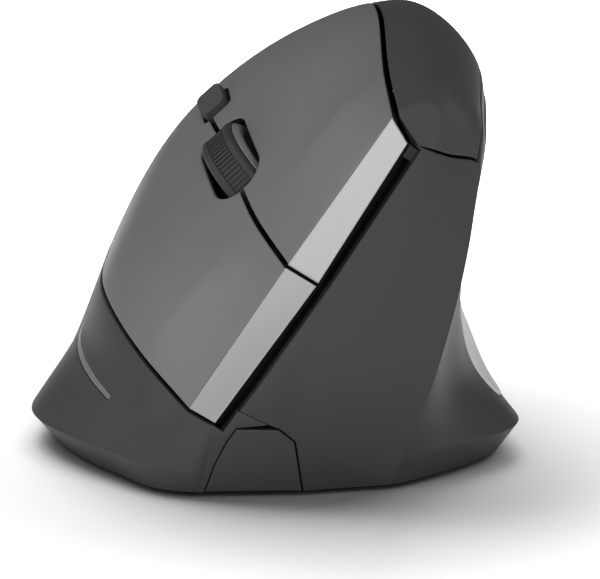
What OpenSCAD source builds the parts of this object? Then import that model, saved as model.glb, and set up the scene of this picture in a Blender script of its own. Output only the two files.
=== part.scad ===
// Vertical ergonomic mouse for the right hand, drawn in millimetres.
// The origin is on the table under the middle of the body, the nose faces -Y,
// the finger side is at -X and the thumb side at +X.

/* [Body] */
// Overall width at the base rims
body_w = 77; // [72:0.5:86]
// Overall length from nose to stern
body_l = 106; // [100:1:120]
// Height of the ridge above the table
body_h = 70; // [68:0.5:76]
// Wall of the outer shells
shell_t = 2; // [1.6:0.1:2.4]
// Wall of the two key plates
key_t = 1.8; // [1.4:0.1:2.2]
// Height of the lower shell edge above the table
foot_h = 0.8; // [0.5:0.1:1.2]

/* [Seams] */
// Gap between fixed shells
shell_gap = 0.24; // [0.16:0.02:0.4]
// Gap round the key plates
key_gap = 0.5; // [0.4:0.05:0.7]
// Width of the dark gap beside the silver strips at the cap
nose_gap = 2.5; // [1.5:0.1:3]
// Width of the same gap at its lower end
nose_gap_low = 1.5; // [1:0.1:3]
// Dark gap between the index key and the cap
cap_gap = 1.2; // [0.6:0.1:1.6]
// Gap between a key plate and its silver strip
strip_gap = 0.06; // [0.04:0.01:0.12]

/* [Wheel] */
// Outer radius of the rubber tyre
tyre_r = 11.5; // [11:0.5:13]
// Width of the tyre
tyre_w = 6.2; // [5:0.2:7]
// Rubber thickness of the tyre
tyre_t = 2.9; // [2:0.1:3.5]
// How far the tyre stands proud of the key plates
wheel_proud = 3.3; // [2:0.1:4]
// Number of ribs round the tyre
tyre_ribs = 40; // [24:1:48]
// Depth of the grooves between the ribs
groove_depth = 0.5; // [0.3:0.1:0.8]
// Radius of the wheel axle
axle_r = 1.25; // [1:0.05:1.5]
// Running clearance of the axle and the key pivots
bore_gap = 0.05; // [0.03:0.01:0.1]
// Width of the wheel slot
slot_w = 9.4; // [8.6:0.2:10]
// Length of the wheel slot
slot_l = 20.2; // [19.4:0.2:22]

/* [Keys] */
// Width of the pointer speed key
dpi_w = 5; // [4:0.2:6]
// Length of the pointer speed key
dpi_l = 6.6; // [5:0.2:8]
// How far the pointer speed key stands proud
dpi_proud = 1.3; // [0.9:0.1:2]
// How far the thumb keys stand proud
thumb_proud = 0.3; // [0.2:0.1:0.8]
// Travel that is left above every small switch
press_room = 0.8; // [0.6:0.1:1]
// Radius of the pivot pins under the key plates
pivot_r = 1.2; // [1:0.1:1.4]

/* [Power] */
// Diameter of the battery
cell_d = 14.5; // [14:0.1:15]
// Length of the battery
cell_l = 50.5; // [48:0.5:51]
// Width of the battery door
door_w = 16; // [15.8:0.1:18]
// Thickness of the base plate and of the battery door
base_t = 1.8; // [1.6:0.1:2]
// Travel of the power slider
power_travel = 2.4; // [1.6:0.2:3]
// Gap round the battery door
door_gap = 0.2; // [0.15:0.05:0.3]

/* [Receiver] */
// Width of the plug-in receiver
receiver_w = 14; // [13:0.5:15]
// Thickness of the plug-in receiver
receiver_t = 5.6; // [5:0.2:6.4]
// Length of the plug-in receiver
receiver_l = 18.6; // [17:0.2:19]
// Clearance of the receiver in its pocket
receiver_gap = 0.25; // [0.15:0.05:0.4]

/* [Hidden] */

// The lines of the body are drawn for a body of this size and stretched to the set one
drawn = [77, 106, 70];
stretch = [body_w / drawn.x, body_l / drawn.y, body_h / drawn.z];
middle = [1, -0.1];
function place(p) = [(p.x - middle.x) * stretch.x, (p.y - middle.y) * stretch.y,
    len(p) > 2 ? p.z * stretch.z : foot_h];

function unit(v) = v / norm(v);
function mix(a, b, k) = a * (1 - k) + b * k;
function clamp(x, lo, hi) = min(max(x, lo), hi);
function hermite(a, b, ma, mb, f) =
    (2 * f * f * f - 3 * f * f + 1) * a + (f * f * f - 2 * f * f + f) * ma
    + (-2 * f * f * f + 3 * f * f) * b + (f * f * f - f * f) * mb;

// The front is three flat facets, each a plane y = a + b x + c z on the drawn body
facet_upper = [-53.0, 0.1435, 0.0172];
facet_lower = [-50.8, 0.0623, -0.0741];
facet_insert = [-50.9, -0.1305, -0.1478];
facets = [facet_upper, facet_lower, facet_insert];
facet_pivot = [[3.5, 31], [0, 0.8], [0, 0.8]];

// Thirteen rails run from the nose to the stern. Their points are at the front edge,
// the back of the chamfer, four ribs and the stern. Rails 4 to 8 end on the stern loop.
low = 0.8;
rails_drawn = [
    // lower edge on the finger side
    [[-15.3, -49], [-20, -47], [-27, -36], [-34, -14], [-29.5, 10], [-22, 33], [-12, 46.5]],
    // rim on the finger side
    [[-15, -49.8, 3.5], [-21, -47.5, 4.5], [-29.6, -36, 5], [-37.6, -14, 5],
        [-31.7, 10, 5], [-23.9, 33, 5], [-13, 48.5, 5]],
    // top of the little finger ledge
    [[-14.2, -50.6, 7.5], [-19.3, -48, 8.9], [-25.2, -36, 13.8], [-29, -14, 17],
        [-25.2, 10, 17.4], [-20.5, 33, 16.9], [-12, 48, 13.5]],
    // seam between the skirt and the middle key
    [[-13.7, -51, 11.8], [-17.3, -48.7, 13.7], [-22.6, -36, 19], [-26, -14, 24.5],
        [-22.4, 10, 25.5], [-17.5, 33, 24], [-10.5, 46.5, 21.5]],
    // split between the two keys
    [[2, -52.5, 33.4], [-2, -48.8, 35.6], [-4.6, -36, 40], [-6.1, -14, 47.9],
        [-6.7, 10, 51], [-3.7, 33, 42]],
    // seam between the index key and the cap
    [[16.1, -51, 54.5], [14.5, -47.6, 57.8], [15.6, -36, 62.4], [18.9, -14, 69.2],
        [20.5, 10, 66], [14.5, 33, 53]],
    // crown of the cap
    [[23, -50, 51.8], [22.1, -47.5, 58.4], [22.9, -36, 65.2], [25.4, -14, 69.6],
        [25.8, 10, 66.3], [20, 33, 52]],
    // seam between the cap and the thumb side
    [[27.3, -49.2, 50.7], [28.4, -46.5, 53.5], [30.8, -36, 57.1], [35.3, -14, 60.2],
        [35.3, 10, 56.1], [26.5, 33, 45]],
    // line under the thumb keys
    [[26.9, -49.3, 44], [28.2, -45, 44.5], [30.7, -36, 46], [33.8, -14, 46.5],
        [34.2, 10, 44], [28, 33, 36]],
    // waist where the thumb lies
    [[24.3, -49.9, 30], [25.4, -45.5, 30], [28.1, -36, 30], [30.1, -14, 30],
        [30.4, 10, 29.5], [26, 33, 26], [15, 46, 22]],
    // slope of the thumb ledge
    [[20.1, -50.8, 16], [22, -47, 15], [28.9, -36, 14.5], [34.9, -14, 14.5],
        [36, 10, 14.5], [29, 33, 14], [15.5, 48, 13.5]],
    // rim on the thumb side
    [[16, -50.3, 5], [22.5, -46.5, 5], [37.8, -34, 5], [39.1, -14, 5],
        [38.5, 10, 5], [31, 33, 5], [16, 48.5, 5]],
    // lower edge on the thumb side
    [[14, -50.1], [22, -45.5], [34.8, -33.4], [36.6, -14], [36.2, 10], [28.5, 33], [15, 46.5]],
];
RAILS = 12;
SEAM = 3;
LAST = 6;

// Headings in which the side rails reach the stern loop
stern_heading = [unit([0.78, 0.62, 0]), unit([0.8, 0.6, 0]), unit([0.8, 0.6, 0]), unit([0.78, 0.6, -0.15])];
stern_bulge = 1.05;
top_heading = unit([0, 0.28, -0.96]);
function mirror_x(v) = [-v.x, v.y, v.z];
function mirror_yz(v) = [v.x, -v.y, -v.z];
function stern_point(i, s) =
    let (a = place(rails_drawn[i][LAST]), b = place(rails_drawn[RAILS - i][LAST]))
    let (m = norm(b - a) * stern_bulge)
    hermite(a, b, stern_heading[i] * m, mirror_yz(stern_heading[i]) * m, s);

rails = [for (i = [0:RAILS])
    [for (k = [0:LAST])
        k == LAST && i > SEAM && i < RAILS - SEAM ? stern_point(SEAM, (i - SEAM) / (RAILS - 2 * SEAM))
        : place(rails_drawn[i][k])]];

// Headings along a line of points, with one of its own before and after a crease
function chord(p, i) = norm(p[i + 1] - p[i]);
function leg(p, i) = (p[i + 1] - p[i]) / chord(p, i);
function turn(p, i) =
    (leg(p, i - 1) * chord(p, i) + leg(p, i) * chord(p, i - 1)) / (chord(p, i) + chord(p, i - 1));
function heading_in(p, i, creased, e) =
    i == 0 ? leg(p, 0)
    : i == len(p) - 1 ? (is_undef(e) ? 2 * leg(p, i - 1) - turn(p, i - 1) : e)
    : creased ? leg(p, i - 1) : turn(p, i);
function heading_out(p, i, creased, next_creased) =
    i == len(p) - 1 ? leg(p, i - 1)
    : i == 0 ? (next_creased ? leg(p, 0) : 2 * leg(p, 0) - turn(p, 1))
    : creased ? leg(p, i) : turn(p, i);

function key_rail(i) = i >= SEAM && i <= 5;
function end_heading(i) = i <= SEAM ? stern_heading[i]
    : i >= RAILS - SEAM ? mirror_x(stern_heading[RAILS - i]) : top_heading;
rail_in = [for (i = [0:RAILS]) [for (k = [0:LAST])
    heading_in(rails[i], k, key_rail(i) && k == 1, end_heading(i))]];
rail_out = [for (i = [0:RAILS]) [for (k = [0:LAST])
    heading_out(rails[i], k, key_rail(i) && k == 1, key_rail(i))]];
function along(p, hin, hout, x) =
    let (k = min(floor(x), len(p) - 2), d = chord(p, k))
    hermite(p[k], p[k + 1], hout[k] * d, hin[k + 1] * d, x - k);
function rail_at(i, t) = along(rails[i], rail_in[i], rail_out[i], t);

// Across the rails the surface is creased at both rims, and straight at the front edge of the keys
RIM_L = 1;
RIM_R = 11;
function rim(i) = i == RIM_L || i == RIM_R;
function cross_in(p, s) = [for (i = [0:RAILS])
    let (a = heading_in(p, i, rim(i)), b = heading_in(p, i, rim(i) || key_rail(i)))
    i == RAILS ? leg(p, i - 1) : mix(a, b, s)];
function cross_out(p, s) = [for (i = [0:RAILS])
    let (a = heading_out(p, i, rim(i), true), b = heading_out(p, i, rim(i) || key_rail(i), true))
    mix(a, b, s)];
// A section holds the rail points at one station and their headings across the rails
function section(t) = let (p = [for (k = [0:RAILS]) rail_at(k, clamp(t, 0, LAST))], s = clamp(2 - t, 0, 1))
    [p, cross_in(p, s), cross_out(p, s)];
function on_section(c, w) = along(c[0], c[1], c[2], w);
function skin_point(t, w) = on_section(section(t), w);
// The band of the skirt that closes the stern has sections of its own
function stern_section(s) = let (p = [for (k = [0:SEAM]) stern_point(k, clamp(s, 0, 1))])
    [p, [for (k = [0:SEAM]) heading_in(p, k, k == RIM_L)],
        [for (k = [0:SEAM]) heading_out(p, k, k == RIM_L, true)]];

// A sheet is a grid of points of the surface with their outward normals
probe = 0.04;
function facing(dw, dt) = unit(cross(dw, dt));
function sheet(t0, t1, w0, w1, nt, nw) = [for (i = [0:nt])
    let (t = mix(t0, t1, i / nt), a = section(t - probe), c = section(t), b = section(t + probe))
    [for (j = [0:nw]) let (w = mix(w0, w1, j / nw),
        dw = on_section(c, min(w + probe, RAILS)) - on_section(c, max(w - probe, 0)))
        [on_section(c, w), facing(dw, on_section(b, w) - on_section(a, w))]]];
// Normal on the seam between the stern band and the palm shell
function seam_normal(s) =
    let (c = stern_section(s), above = on_section(section(LAST - probe), mix(SEAM, RAILS - SEAM, s)))
    facing(above - on_section(c, SEAM - probe),
        stern_point(SEAM, min(s + probe, 1)) - stern_point(SEAM, max(s - probe, 0)));
function stern_sheet(ns, nw) = [for (i = [1:ns])
    let (s = i / ns, a = stern_section(s - probe), c = stern_section(s), b = stern_section(s + probe))
    [for (j = [0:nw]) let (w = mix(0, SEAM, j / nw))
        [on_section(c, w), j == nw ? seam_normal(s)
            : facing(on_section(c, w + probe) - on_section(c, max(w - probe, 0)),
                on_section(b, w) - on_section(a, w))]]];
function with_rear(g, n) = [for (i = [0:len(g) - 1])
    i < len(g) - 1 ? g[i] : [for (j = [0:len(g[0]) - 1]) [g[i][j][0], n[j]]]];
// Walls of the front edge that run straight back from the front facets
function straight_front(g) = [for (i = [0:len(g) - 1])
    i > 0 ? g[i] : [for (q = g[0]) [q[0], [0, -1, 0] / max(-q[1].y, 0.35)]]];

// Draws the four edges of a sheet inwards: front, rear, low and high edge
function pull(a, b, d) = [a[0] + unit(b[0] - a[0]) * d, a[1]];
function inset(g, e) = let (m = len(g) - 1, n = len(g[0]) - 1)
    let (h = [for (i = [0:m]) [for (j = [0:n])
        i == 0 ? pull(g[0][j], g[1][j], e[0]) : i == m ? pull(g[m][j], g[m - 1][j], e[1]) : g[i][j]]])
    [for (i = [0:m]) [for (j = [0:n])
        j == 0 ? pull(h[i][0], h[i][1], e[2]) : j == n ? pull(h[i][n], h[i][n - 1], e[3]) : h[i][j]]];

// A closed skin over a sheet, from a height over the surface down to a depth under it
module skin(g, depth, over = 0) {
    m = len(g) - 1;
    n = len(g[0]) - 1;
    w = n + 1;
    under = (m + 1) * w;
    top = [for (r = g) for (q = r) q[0] + q[1] * over];
    bottom = [for (r = g) for (q = r) q[0] - q[1] * depth];
    cells = [for (i = [0:m - 1]) for (j = [0:n - 1]) i * w + j];
    outer = [for (c = cells) each [[c, c + w, c + w + 1], [c, c + w + 1, c + 1]]];
    inner = [for (c = cells) each [[c + under, c + under + w + 1, c + under + w],
        [c + under, c + under + 1, c + under + w + 1]]];
    ring = concat([for (j = [0:n - 1]) j], [for (i = [0:m - 1]) i * w + n],
        [for (j = [n:-1:1]) m * w + j], [for (i = [m:-1:1]) i * w]);
    rims = [for (k = [0:len(ring) - 1]) let (a = ring[k], b = ring[(k + 1) % len(ring)])
        each [[a, b, b + under], [a, b + under, a + under]]];
    polyhedron(points = concat(top, bottom), faces = concat(outer, inner, rims), convexity = 8);
}

// A frame on the surface: X across towards the cap, Y to the rear, Z outwards
function frame_at(t, w) =
    let (h = 0.05, o = skin_point(t, w))
    let (a = unit(skin_point(t - h, w) - skin_point(t + h, w)),
        b = skin_point(t, w + h) - skin_point(t, w - h))
    let (n = unit(cross(a, b)), x = cross(n, a))
    [[x.x, -a.x, n.x, o.x], [x.y, -a.y, n.y, o.y], [x.z, -a.z, n.z, o.z], [0, 0, 0, 1]];
wheel_t = 2.83;
split_w = 4;
finger_m = frame_at(wheel_t, split_w);
module on_finger() multmatrix(finger_m) children();
function column(m, i) = [m[0][i], m[1][i], m[2][i]];
function to_finger(p) = let (d = p - column(finger_m, 3)) [for (i = [0:2]) d * column(finger_m, i)];

rear_t = 4;
wheel_z = wheel_proud - tyre_r;

// Places of the inner parts, in the finger frame
board_t = 1.6;
board_top = -14.5;
frame_t = 2;
frame_top = board_top - board_t - 1;
pivot_y = 22;
pivot_z = -10;
lever_t = 1.6;
lever_top = -5.4;
lever_in = 8.5;
lever_out = 20;
lever_front = -24;
lever_rear = 11;
arm_w = 2.4;
arm_inset = 1;
arm_gap = 0.3;
post_w = lever_out - lever_in - 2 * (arm_inset + arm_w + arm_gap);
switch_x = 16;
switch_y = -18;
switch_size = [12.8, 5.8, 6.2];
tact_size = [6, 6, 3.2];
plunger_r = 1.1;
plunger_h = 0.5;

// Places of the inner parts, in the frame of the whole body
floor_top = foot_h + base_t;
main_z = 7;
main_t = 1.4;
sensor_at = [-5, -16];
cell_at = [13.9, 3.5];
cell_z = floor_top + 0.5 + cell_d / 2;
bay_wall = 1.4;
bay_l = cell_l + 3.6;
door_l = bay_l - 1;
door_pin_r = 0.5;
hinge_z = foot_h + base_t / 2;
hinge_y = cell_at.y - door_l / 2 + base_t / 2;
receiver_at = [wide(-15.2), 15];
receiver_z = foot_h + 0.3;
power_at = [-5, 25];
screw_r = 1.1;
screw_head_r = 2.1;
screw_head_h = 1.2;
screw_l = 8;
case_screw_at = [[wide(-9), -34], [wide(13), -34], [wide(-21), -4], [max(wide(27), 26), -4]];

// Outline of the base, a little inside the lower edge of the shells
base_steps = 40;
outline = concat([for (k = [0:base_steps / 2]) rail_at(0, LAST * k / (base_steps / 2))],
    [for (k = [1:7]) stern_point(0, k / 8)],
    [for (k = [base_steps / 2:-1:0]) rail_at(RAILS, LAST * k / (base_steps / 2))]);
function flat(v) = [v.x, v.y];
function shrink(p, d) = let (n = len(p)) [for (i = [0:n - 1])
    let (e = flat(p[(i + 1) % n]) - flat(p[(i + n - 1) % n]))
    flat(p[i]) + [e.y, -e.x] / norm(e) * d];

// A block drawn by its middle in X and Y and its lower face
module block(size, at = [0, 0, 0]) translate([at.x - size.x / 2, at.y - size.y / 2, at.z]) cube(size);
module pin_x(r, x0, x1, y, z) translate([x0, y, z]) rotate([0, 90, 0]) cylinder(r = r, h = x1 - x0, $fn = 32);
module pin_z(r, h, at) translate(at) cylinder(r = r, h = h, $fn = 32);

// A large block whose upper face is the front facet, moved back by a distance
reach = 160;
module behind_facet(i, back) {
    p = place([facet_pivot[i].x, facets[i][0], facet_pivot[i].y]);
    n = unit([facets[i][1], -1, facets[i][2]]);
    u = unit(cross([0, 0, 1], n));
    v = cross(n, u);
    multmatrix([[u.x, v.x, n.x, p.x], [u.y, v.y, n.y, p.y + back], [u.z, v.z, n.z, p.z], [0, 0, 0, 1]])
        translate([-reach / 2, -reach / 2, -reach]) cube(reach);
}
module front_body(back) intersection() {
    behind_facet(0, back);
    behind_facet(1, back);
    behind_facet(2, back);
}
// A piece of the front wall, cut to an outline in X and Z
module front_wall(points, depth = shell_t) {
    intersection() {
        translate([0, -body_l / 2 + 16, 0]) rotate([90, 0, 0])
            linear_extrude(height = 20) polygon(points);
        difference() {
            front_body(0);
            front_body(depth);
        }
    }
}
function up(z) = z * stretch.z;
function wide(x) = x * stretch.x;
function spot(x, z) = [(x - middle.x) * stretch.x, z == low ? foot_h : up(z)];

// Lines on the front: the dark gap beside the strips, the insert and the cap seam
function beside(p, q, d) = let (v = unit([q.x - p.x, q.z - p.z])) [v.y, -v.x] * d;
strip_low = rails[3][0];
strip_high = rails[5][0];
gap_low = [strip_low.x, strip_low.z] + beside(strip_low, strip_high, nose_gap_low);
gap_high = [strip_high.x, strip_high.z] + beside(strip_low, strip_high, nose_gap);
function on_gap(k) = mix(gap_low, gap_high, k);
gap_part = 0.13;
insert_right = [spot(0.3, low), spot(-1.0, 8.8), spot(-3.6, 11.1)];
insert_left = [spot(-10.2, 11.3), spot(-11.6, 9.2), spot(-13.4, 5.4), spot(-14.9, low)];
parting = spot(-5.2, 11.7);

// Front edge of the thumb shell from the cap seam down to the base
edge_n = 15;
function front_line(w0, w1, n, shift) = [for (j = [0:n])
    let (p = skin_point(0, mix(w0, w1, j / n))) [p.x + shift.x, p.z + shift.y]];

// Sheets of the outer panels
function skirt_sheet() = concat(sheet(0, 6, 0, 3, 26, 10), stern_sheet(7, 10));
function thumb_sheet() = sheet(0, 6, 7, 12, 26, 16);
palm_n = 14;
function palm_sheet() = with_rear(sheet(rear_t, 6, 3, 7, 10, palm_n),
    [for (j = [0:palm_n]) seam_normal(4 * j / palm_n / (RAILS - 2 * SEAM))]);
function cap_sheet() = straight_front(sheet(0, rear_t, 5, 7, 18, 7));
function index_sheet() = sheet(1, rear_t, 4, 5, 14, 6);
function middle_sheet() = sheet(1, rear_t, 3, 4, 14, 6);
function index_strip() = straight_front(sheet(0, 1, 4, 5, 1, 6));
function middle_strip() = straight_front(sheet(0, 1, 3, 4, 1, 6));

module wheel_slot() on_finger() translate([0, 0, -6]) linear_extrude(height = 14)
    polygon([for (s = [[1, 0.5], [0.93, 0.74], [0.7, 0.9], [0.3, 1], [-0.3, 1], [-0.7, 0.9], [-0.93, 0.74],
        [-1, 0.5], [-1, -0.5], [-0.93, -0.74], [-0.7, -0.9], [-0.3, -1], [0.3, -1],
        [0.7, -0.9], [0.93, -0.74], [1, -0.5]])
        [s.x * slot_w / 2, s.y * slot_l / 2]]);
module wheel_pocket() on_finger() block([slot_w - 0.4, slot_l + 2.6, 8], [0, 0, -9.9]);
dpi_at = [0.6, 19.2];
function dpi_shape(grow) = let (a = dpi_w / 2 + grow, b = dpi_l / 2 + grow, c = 0.7)
    [[a, -b + c], [a - c, -b], [c - a, -b], [-a, -b + c],
        [-a, b - c], [c - a, b], [a - c, b], [a, b - c]];
module dpi_slot() on_finger() translate([dpi_at.x, dpi_at.y, -8]) linear_extrude(height = 14)
    polygon(dpi_shape(key_gap / 2 + 0.1));

module finger_skirt() color([0.29, 0.29, 0.3]) {
    difference() {
        union() {
            skin(inset(skirt_sheet(), [0, shell_gap / 2, 0, shell_gap / 2]), shell_t);
            front_wall(concat(front_line(0, 3, 6, [0.1, 0]),
                [gap_low, on_gap(gap_part) - [shell_gap, 0], parting - [shell_gap, 0]], insert_left));
        }
        skin(accent_sheet(), 0.9, 1);
    }
}
accent_t = [2.13, 4.4];
accent_w = [1.75, 2.08];
accent_half = 0.05;
function accent_sheet() = [for (i = [0:12])
    let (t = mix(accent_t[0], accent_t[1], i / 12), w = mix(accent_w[0], accent_w[1], i / 12))
    sheet(t, t, w - accent_half, w + accent_half, 1, 1)[0]];
module skirt_accent() color([0.5, 0.5, 0.5])
    skin(inset(accent_sheet(), [0.2, 0.2, 0.35, 0.1]), 0.8, -0.05);
module palm_shell() color([0.38, 0.38, 0.39])
    skin(inset(palm_sheet(), [shell_gap / 2, shell_gap / 2, shell_gap / 2, shell_gap / 2]), shell_t);

thumb_keys = [1.7, 3.8];
thumb_key_w = [7.27, 7.85];
thumb_split = 2.72;
function thumb_key_sheet(a, b, n) = sheet(a, b, thumb_key_w[0], thumb_key_w[1], n, 4);
function rest_sheet() = sheet(2.3, 5.2, 9.35, 10.7, 12, 5);
module thumb_shell() color([0.28, 0.28, 0.29]) {
    side = front_line(7, 12, edge_n, [0, 0]);
    nose = concat([for (j = [1:edge_n]) side[j]], insert_right, [parting, on_gap(gap_part), gap_high],
        [for (j = [1:5]) front_line(5, 7, 6, [0, -shell_gap])[j]], [side[0] - [0, shell_gap]]);
    difference() {
        union() {
            skin(inset(thumb_sheet(), [0, shell_gap / 2, shell_gap / 2, 0]), shell_t);
            front_wall(nose);
        }
        skin(thumb_key_sheet(thumb_keys[0], thumb_keys[1], 8), 4, 3);
        skin(rest_sheet(), 1, 2);
    }
}
module thumb_rest() color([0.62, 0.62, 0.63])
    skin(inset(rest_sheet(), [0.15, 0.15, 0.15, 0.15]), 0.9, 0.3);
module front_insert() color([0.27, 0.27, 0.28])
    front_wall(concat(
        [[insert_right[0].x - shell_gap, foot_h], insert_right[1] + [-shell_gap, -shell_gap / 2],
            insert_right[2] + [-shell_gap / 2, -shell_gap]],
        [insert_left[0] + [shell_gap / 2, -shell_gap], insert_left[1] + [shell_gap, -shell_gap / 2],
            insert_left[2] + [shell_gap, 0], [insert_left[3].x + shell_gap, foot_h]]));
module top_cap() color([0.25, 0.25, 0.26])
    skin(inset(cap_sheet(), [0, shell_gap / 2, cap_gap, shell_gap / 2]), shell_t);

module index_button() color([0.42, 0.42, 0.43]) difference() {
    skin(inset(index_sheet(), [strip_gap / 2, key_gap, key_gap / 2, key_gap / 2]), key_t);
    wheel_slot();
    wheel_pocket();
    dpi_slot();
}
module middle_button() color([0.45, 0.45, 0.46]) difference() {
    skin(inset(middle_sheet(), [strip_gap / 2, key_gap, key_gap, key_gap / 2]), key_t);
    wheel_slot();
    wheel_pocket();
    dpi_slot();
}
module index_trim() color([0.78, 0.78, 0.79])
    skin(inset(index_strip(), [0, strip_gap / 2, key_gap / 2, key_gap / 2]), key_t);
module middle_trim() color([0.68, 0.68, 0.69])
    skin(inset(middle_strip(), [0, strip_gap / 2, key_gap, key_gap / 2]), key_t);

// Station and rail of the surface over a place in the finger frame
function land(x, y, t, w, n) = n == 0 ? [t, w]
    : let (p = to_finger(skin_point(t, w))) land(x, y, t + (y - p.y) / 24, w + (x - p.x) / 34, n - 1);
post_r = 1.2;
post_room = 0.16;
// A key lever: plank, two arms to the pivot pin, posts up to the key plate and a nib
module key_lever(side, posts) on_finger() {
    x0 = side > 0 ? lever_in : -lever_out;
    translate([x0, lever_front, lever_top - lever_t])
        cube([lever_out - lever_in, lever_rear - lever_front, lever_t]);
    for (x = [lever_in + arm_inset, lever_out - arm_inset - arm_w])
        translate([side > 0 ? x : -x - arm_w, 0, 0]) rotate([90, 0, 90])
            linear_extrude(height = arm_w) polygon([[lever_rear - 2, lever_top - lever_t],
                [pivot_y - 3, pivot_z - 2], [pivot_y + 2, pivot_z - 2], [pivot_y + 2, pivot_z + 2],
                [pivot_y - 2, pivot_z + 2], [lever_rear, lever_top - 0.2], [lever_rear - 2, lever_top]]);
    pin_x(pivot_r, side > 0 ? lever_in + 1.5 : -lever_out + 1.5, side > 0 ? lever_out - 1.5 : -lever_in - 1.5,
        pivot_y, pivot_z);
    for (at = posts) {
        q = land(side * at.x, at.y, 2.5, split_w, 9);
        c = sheet(q.x, q.x, q.y, q.y, 1, 1)[0][0];
        nz = c[1] * column(finger_m, 2);
        post_end = to_finger(c[0]).z - key_t / nz - post_r * sqrt(1 - nz * nz) / nz - post_room;
        pin_z(post_r, post_end - lever_top + lever_t / 2, [side * at.x, at.y, lever_top - lever_t / 2]);
    }
    block([3, 3, 0.4], [side * switch_x, switch_y, lever_top - lever_t - 0.2]);
}
lever_posts = [[10.5, -22], [18, -22], [10.5, 7], [18, 7]];
module index_lever() color([0.2, 0.2, 0.21]) key_lever(1, lever_posts);
module middle_lever() color([0.2, 0.2, 0.21]) key_lever(-1, lever_posts);

// Tyre: a ribbed band between two smooth shoulders
rib_band = 4;
module wheel_tyre() color([0.24, 0.24, 0.25]) on_finger() translate([0, 0, wheel_z]) rotate([0, 90, 0]) {
    difference() {
        union() {
            translate([0, 0, -rib_band / 2]) linear_extrude(height = rib_band)
                polygon([for (k = [0:tyre_ribs - 1]) for (q = [[0.1, 0], [0.5, 0], [0.6, 1], [1, 1]])
                    let (a = (k + q.x) * 360 / tyre_ribs) [cos(a), sin(a)] * (tyre_r - groove_depth * q.y)]);
            for (s = [-1, 1]) scale([1, 1, s]) rotate_extrude($fn = 96)
                polygon([[tyre_r - tyre_t, rib_band / 2 - 0.01], [tyre_r - 0.05, rib_band / 2 - 0.01],
                    [tyre_r - 0.35, tyre_w / 2 - 0.5], [tyre_r - 1, tyre_w / 2],
                    [tyre_r - tyre_t, tyre_w / 2]]);
        }
        translate([0, 0, -tyre_w]) cylinder(r = tyre_r - tyre_t, h = 2 * tyre_w, $fn = 96);
    }
}
hub_r = tyre_r - tyre_t - 0.04;
hub_w = tyre_w - 0.8;
cheek_t = 1.5;
cheek_x = 4.3;
module wheel_hub() color([0.72, 0.72, 0.73]) on_finger() translate([0, 0, wheel_z]) rotate([0, 90, 0]) {
    difference() {
        translate([0, 0, -hub_w / 2]) cylinder(r = hub_r, h = hub_w, $fn = 96);
        for (s = [-1, 1]) translate([0, 0, s * (hub_w / 2 + 0.5)]) difference() {
            cylinder(r = hub_r - 1.2, h = 3.6, center = true, $fn = 96);
            cylinder(r = 2.6, h = 4, center = true, $fn = 48);
        }
        for (k = [0:11]) rotate(k * 30) translate([6, 0, -hub_w]) cylinder(r = 0.9, h = 2 * hub_w, $fn = 24);
    }
    translate([0, 0, -cheek_x - cheek_t - 0.4])
        cylinder(r = axle_r, h = 2 * (cheek_x + cheek_t + 0.4), $fn = 48);
}
cheek_l = 7;
cradle_z = wheel_z - tyre_r - 2.4;
module wheel_carrier() color([0.16, 0.16, 0.17]) on_finger() difference() {
    union() {
        for (s = [-1, 1])
            block([cheek_t, cheek_l, wheel_z + 3 - cradle_z], [s * (cheek_x + cheek_t / 2), 0, cradle_z]);
        block([2 * (cheek_x + cheek_t), cheek_l, 1.7], [0, 0, cradle_z]);
        translate([cheek_x + cheek_t - 0.1, -cheek_l / 2, board_top + tact_size.z + plunger_h + press_room])
            cube([7, cheek_l, 1.6]);
    }
    pin_x(axle_r + bore_gap, -cheek_x - 2 * cheek_t, cheek_x + 2 * cheek_t, 0, wheel_z);
}
module wheel_sensors() color([0.1, 0.1, 0.12]) on_finger() for (s = [-1, 1])
    block([2, 4.4, 8.5], [s * (cheek_x + cheek_t + 1.6), -7.4, board_top]);

module dpi_button() color([0.3, 0.3, 0.31]) on_finger() {
    p = to_finger(skin_point(3.6, 4.08));
    translate([dpi_at.x, dpi_at.y, p.z - 2.6]) linear_extrude(height = 2.6 + dpi_proud)
        polygon(dpi_shape(-0.1));
    low_end = board_top + tact_size.z + plunger_h + press_room;
    block([2.4, 2.4, p.z - 2.5 - low_end], [dpi_at.x, dpi_at.y, low_end]);
}
module tact(at) {
    block(tact_size, at);
    pin_z(1.6, plunger_h, at + [0, 0, tact_size.z - 0.001]);
}
module wheel_switch() color([0.12, 0.12, 0.13]) on_finger() tact([cheek_x + cheek_t + 4, 0, board_top]);
module dpi_switch() color([0.12, 0.12, 0.13]) on_finger() tact([dpi_at.x, dpi_at.y, board_top]);
module micro_switch(side) on_finger() {
    block(switch_size, [side * switch_x, switch_y, board_top]);
    pin_z(plunger_r, plunger_h, [side * switch_x, switch_y, board_top + switch_size.z - 0.001]);
}
module index_switch() color([0.1, 0.1, 0.1]) micro_switch(1);
module middle_switch() color([0.1, 0.1, 0.1]) micro_switch(-1);

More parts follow.
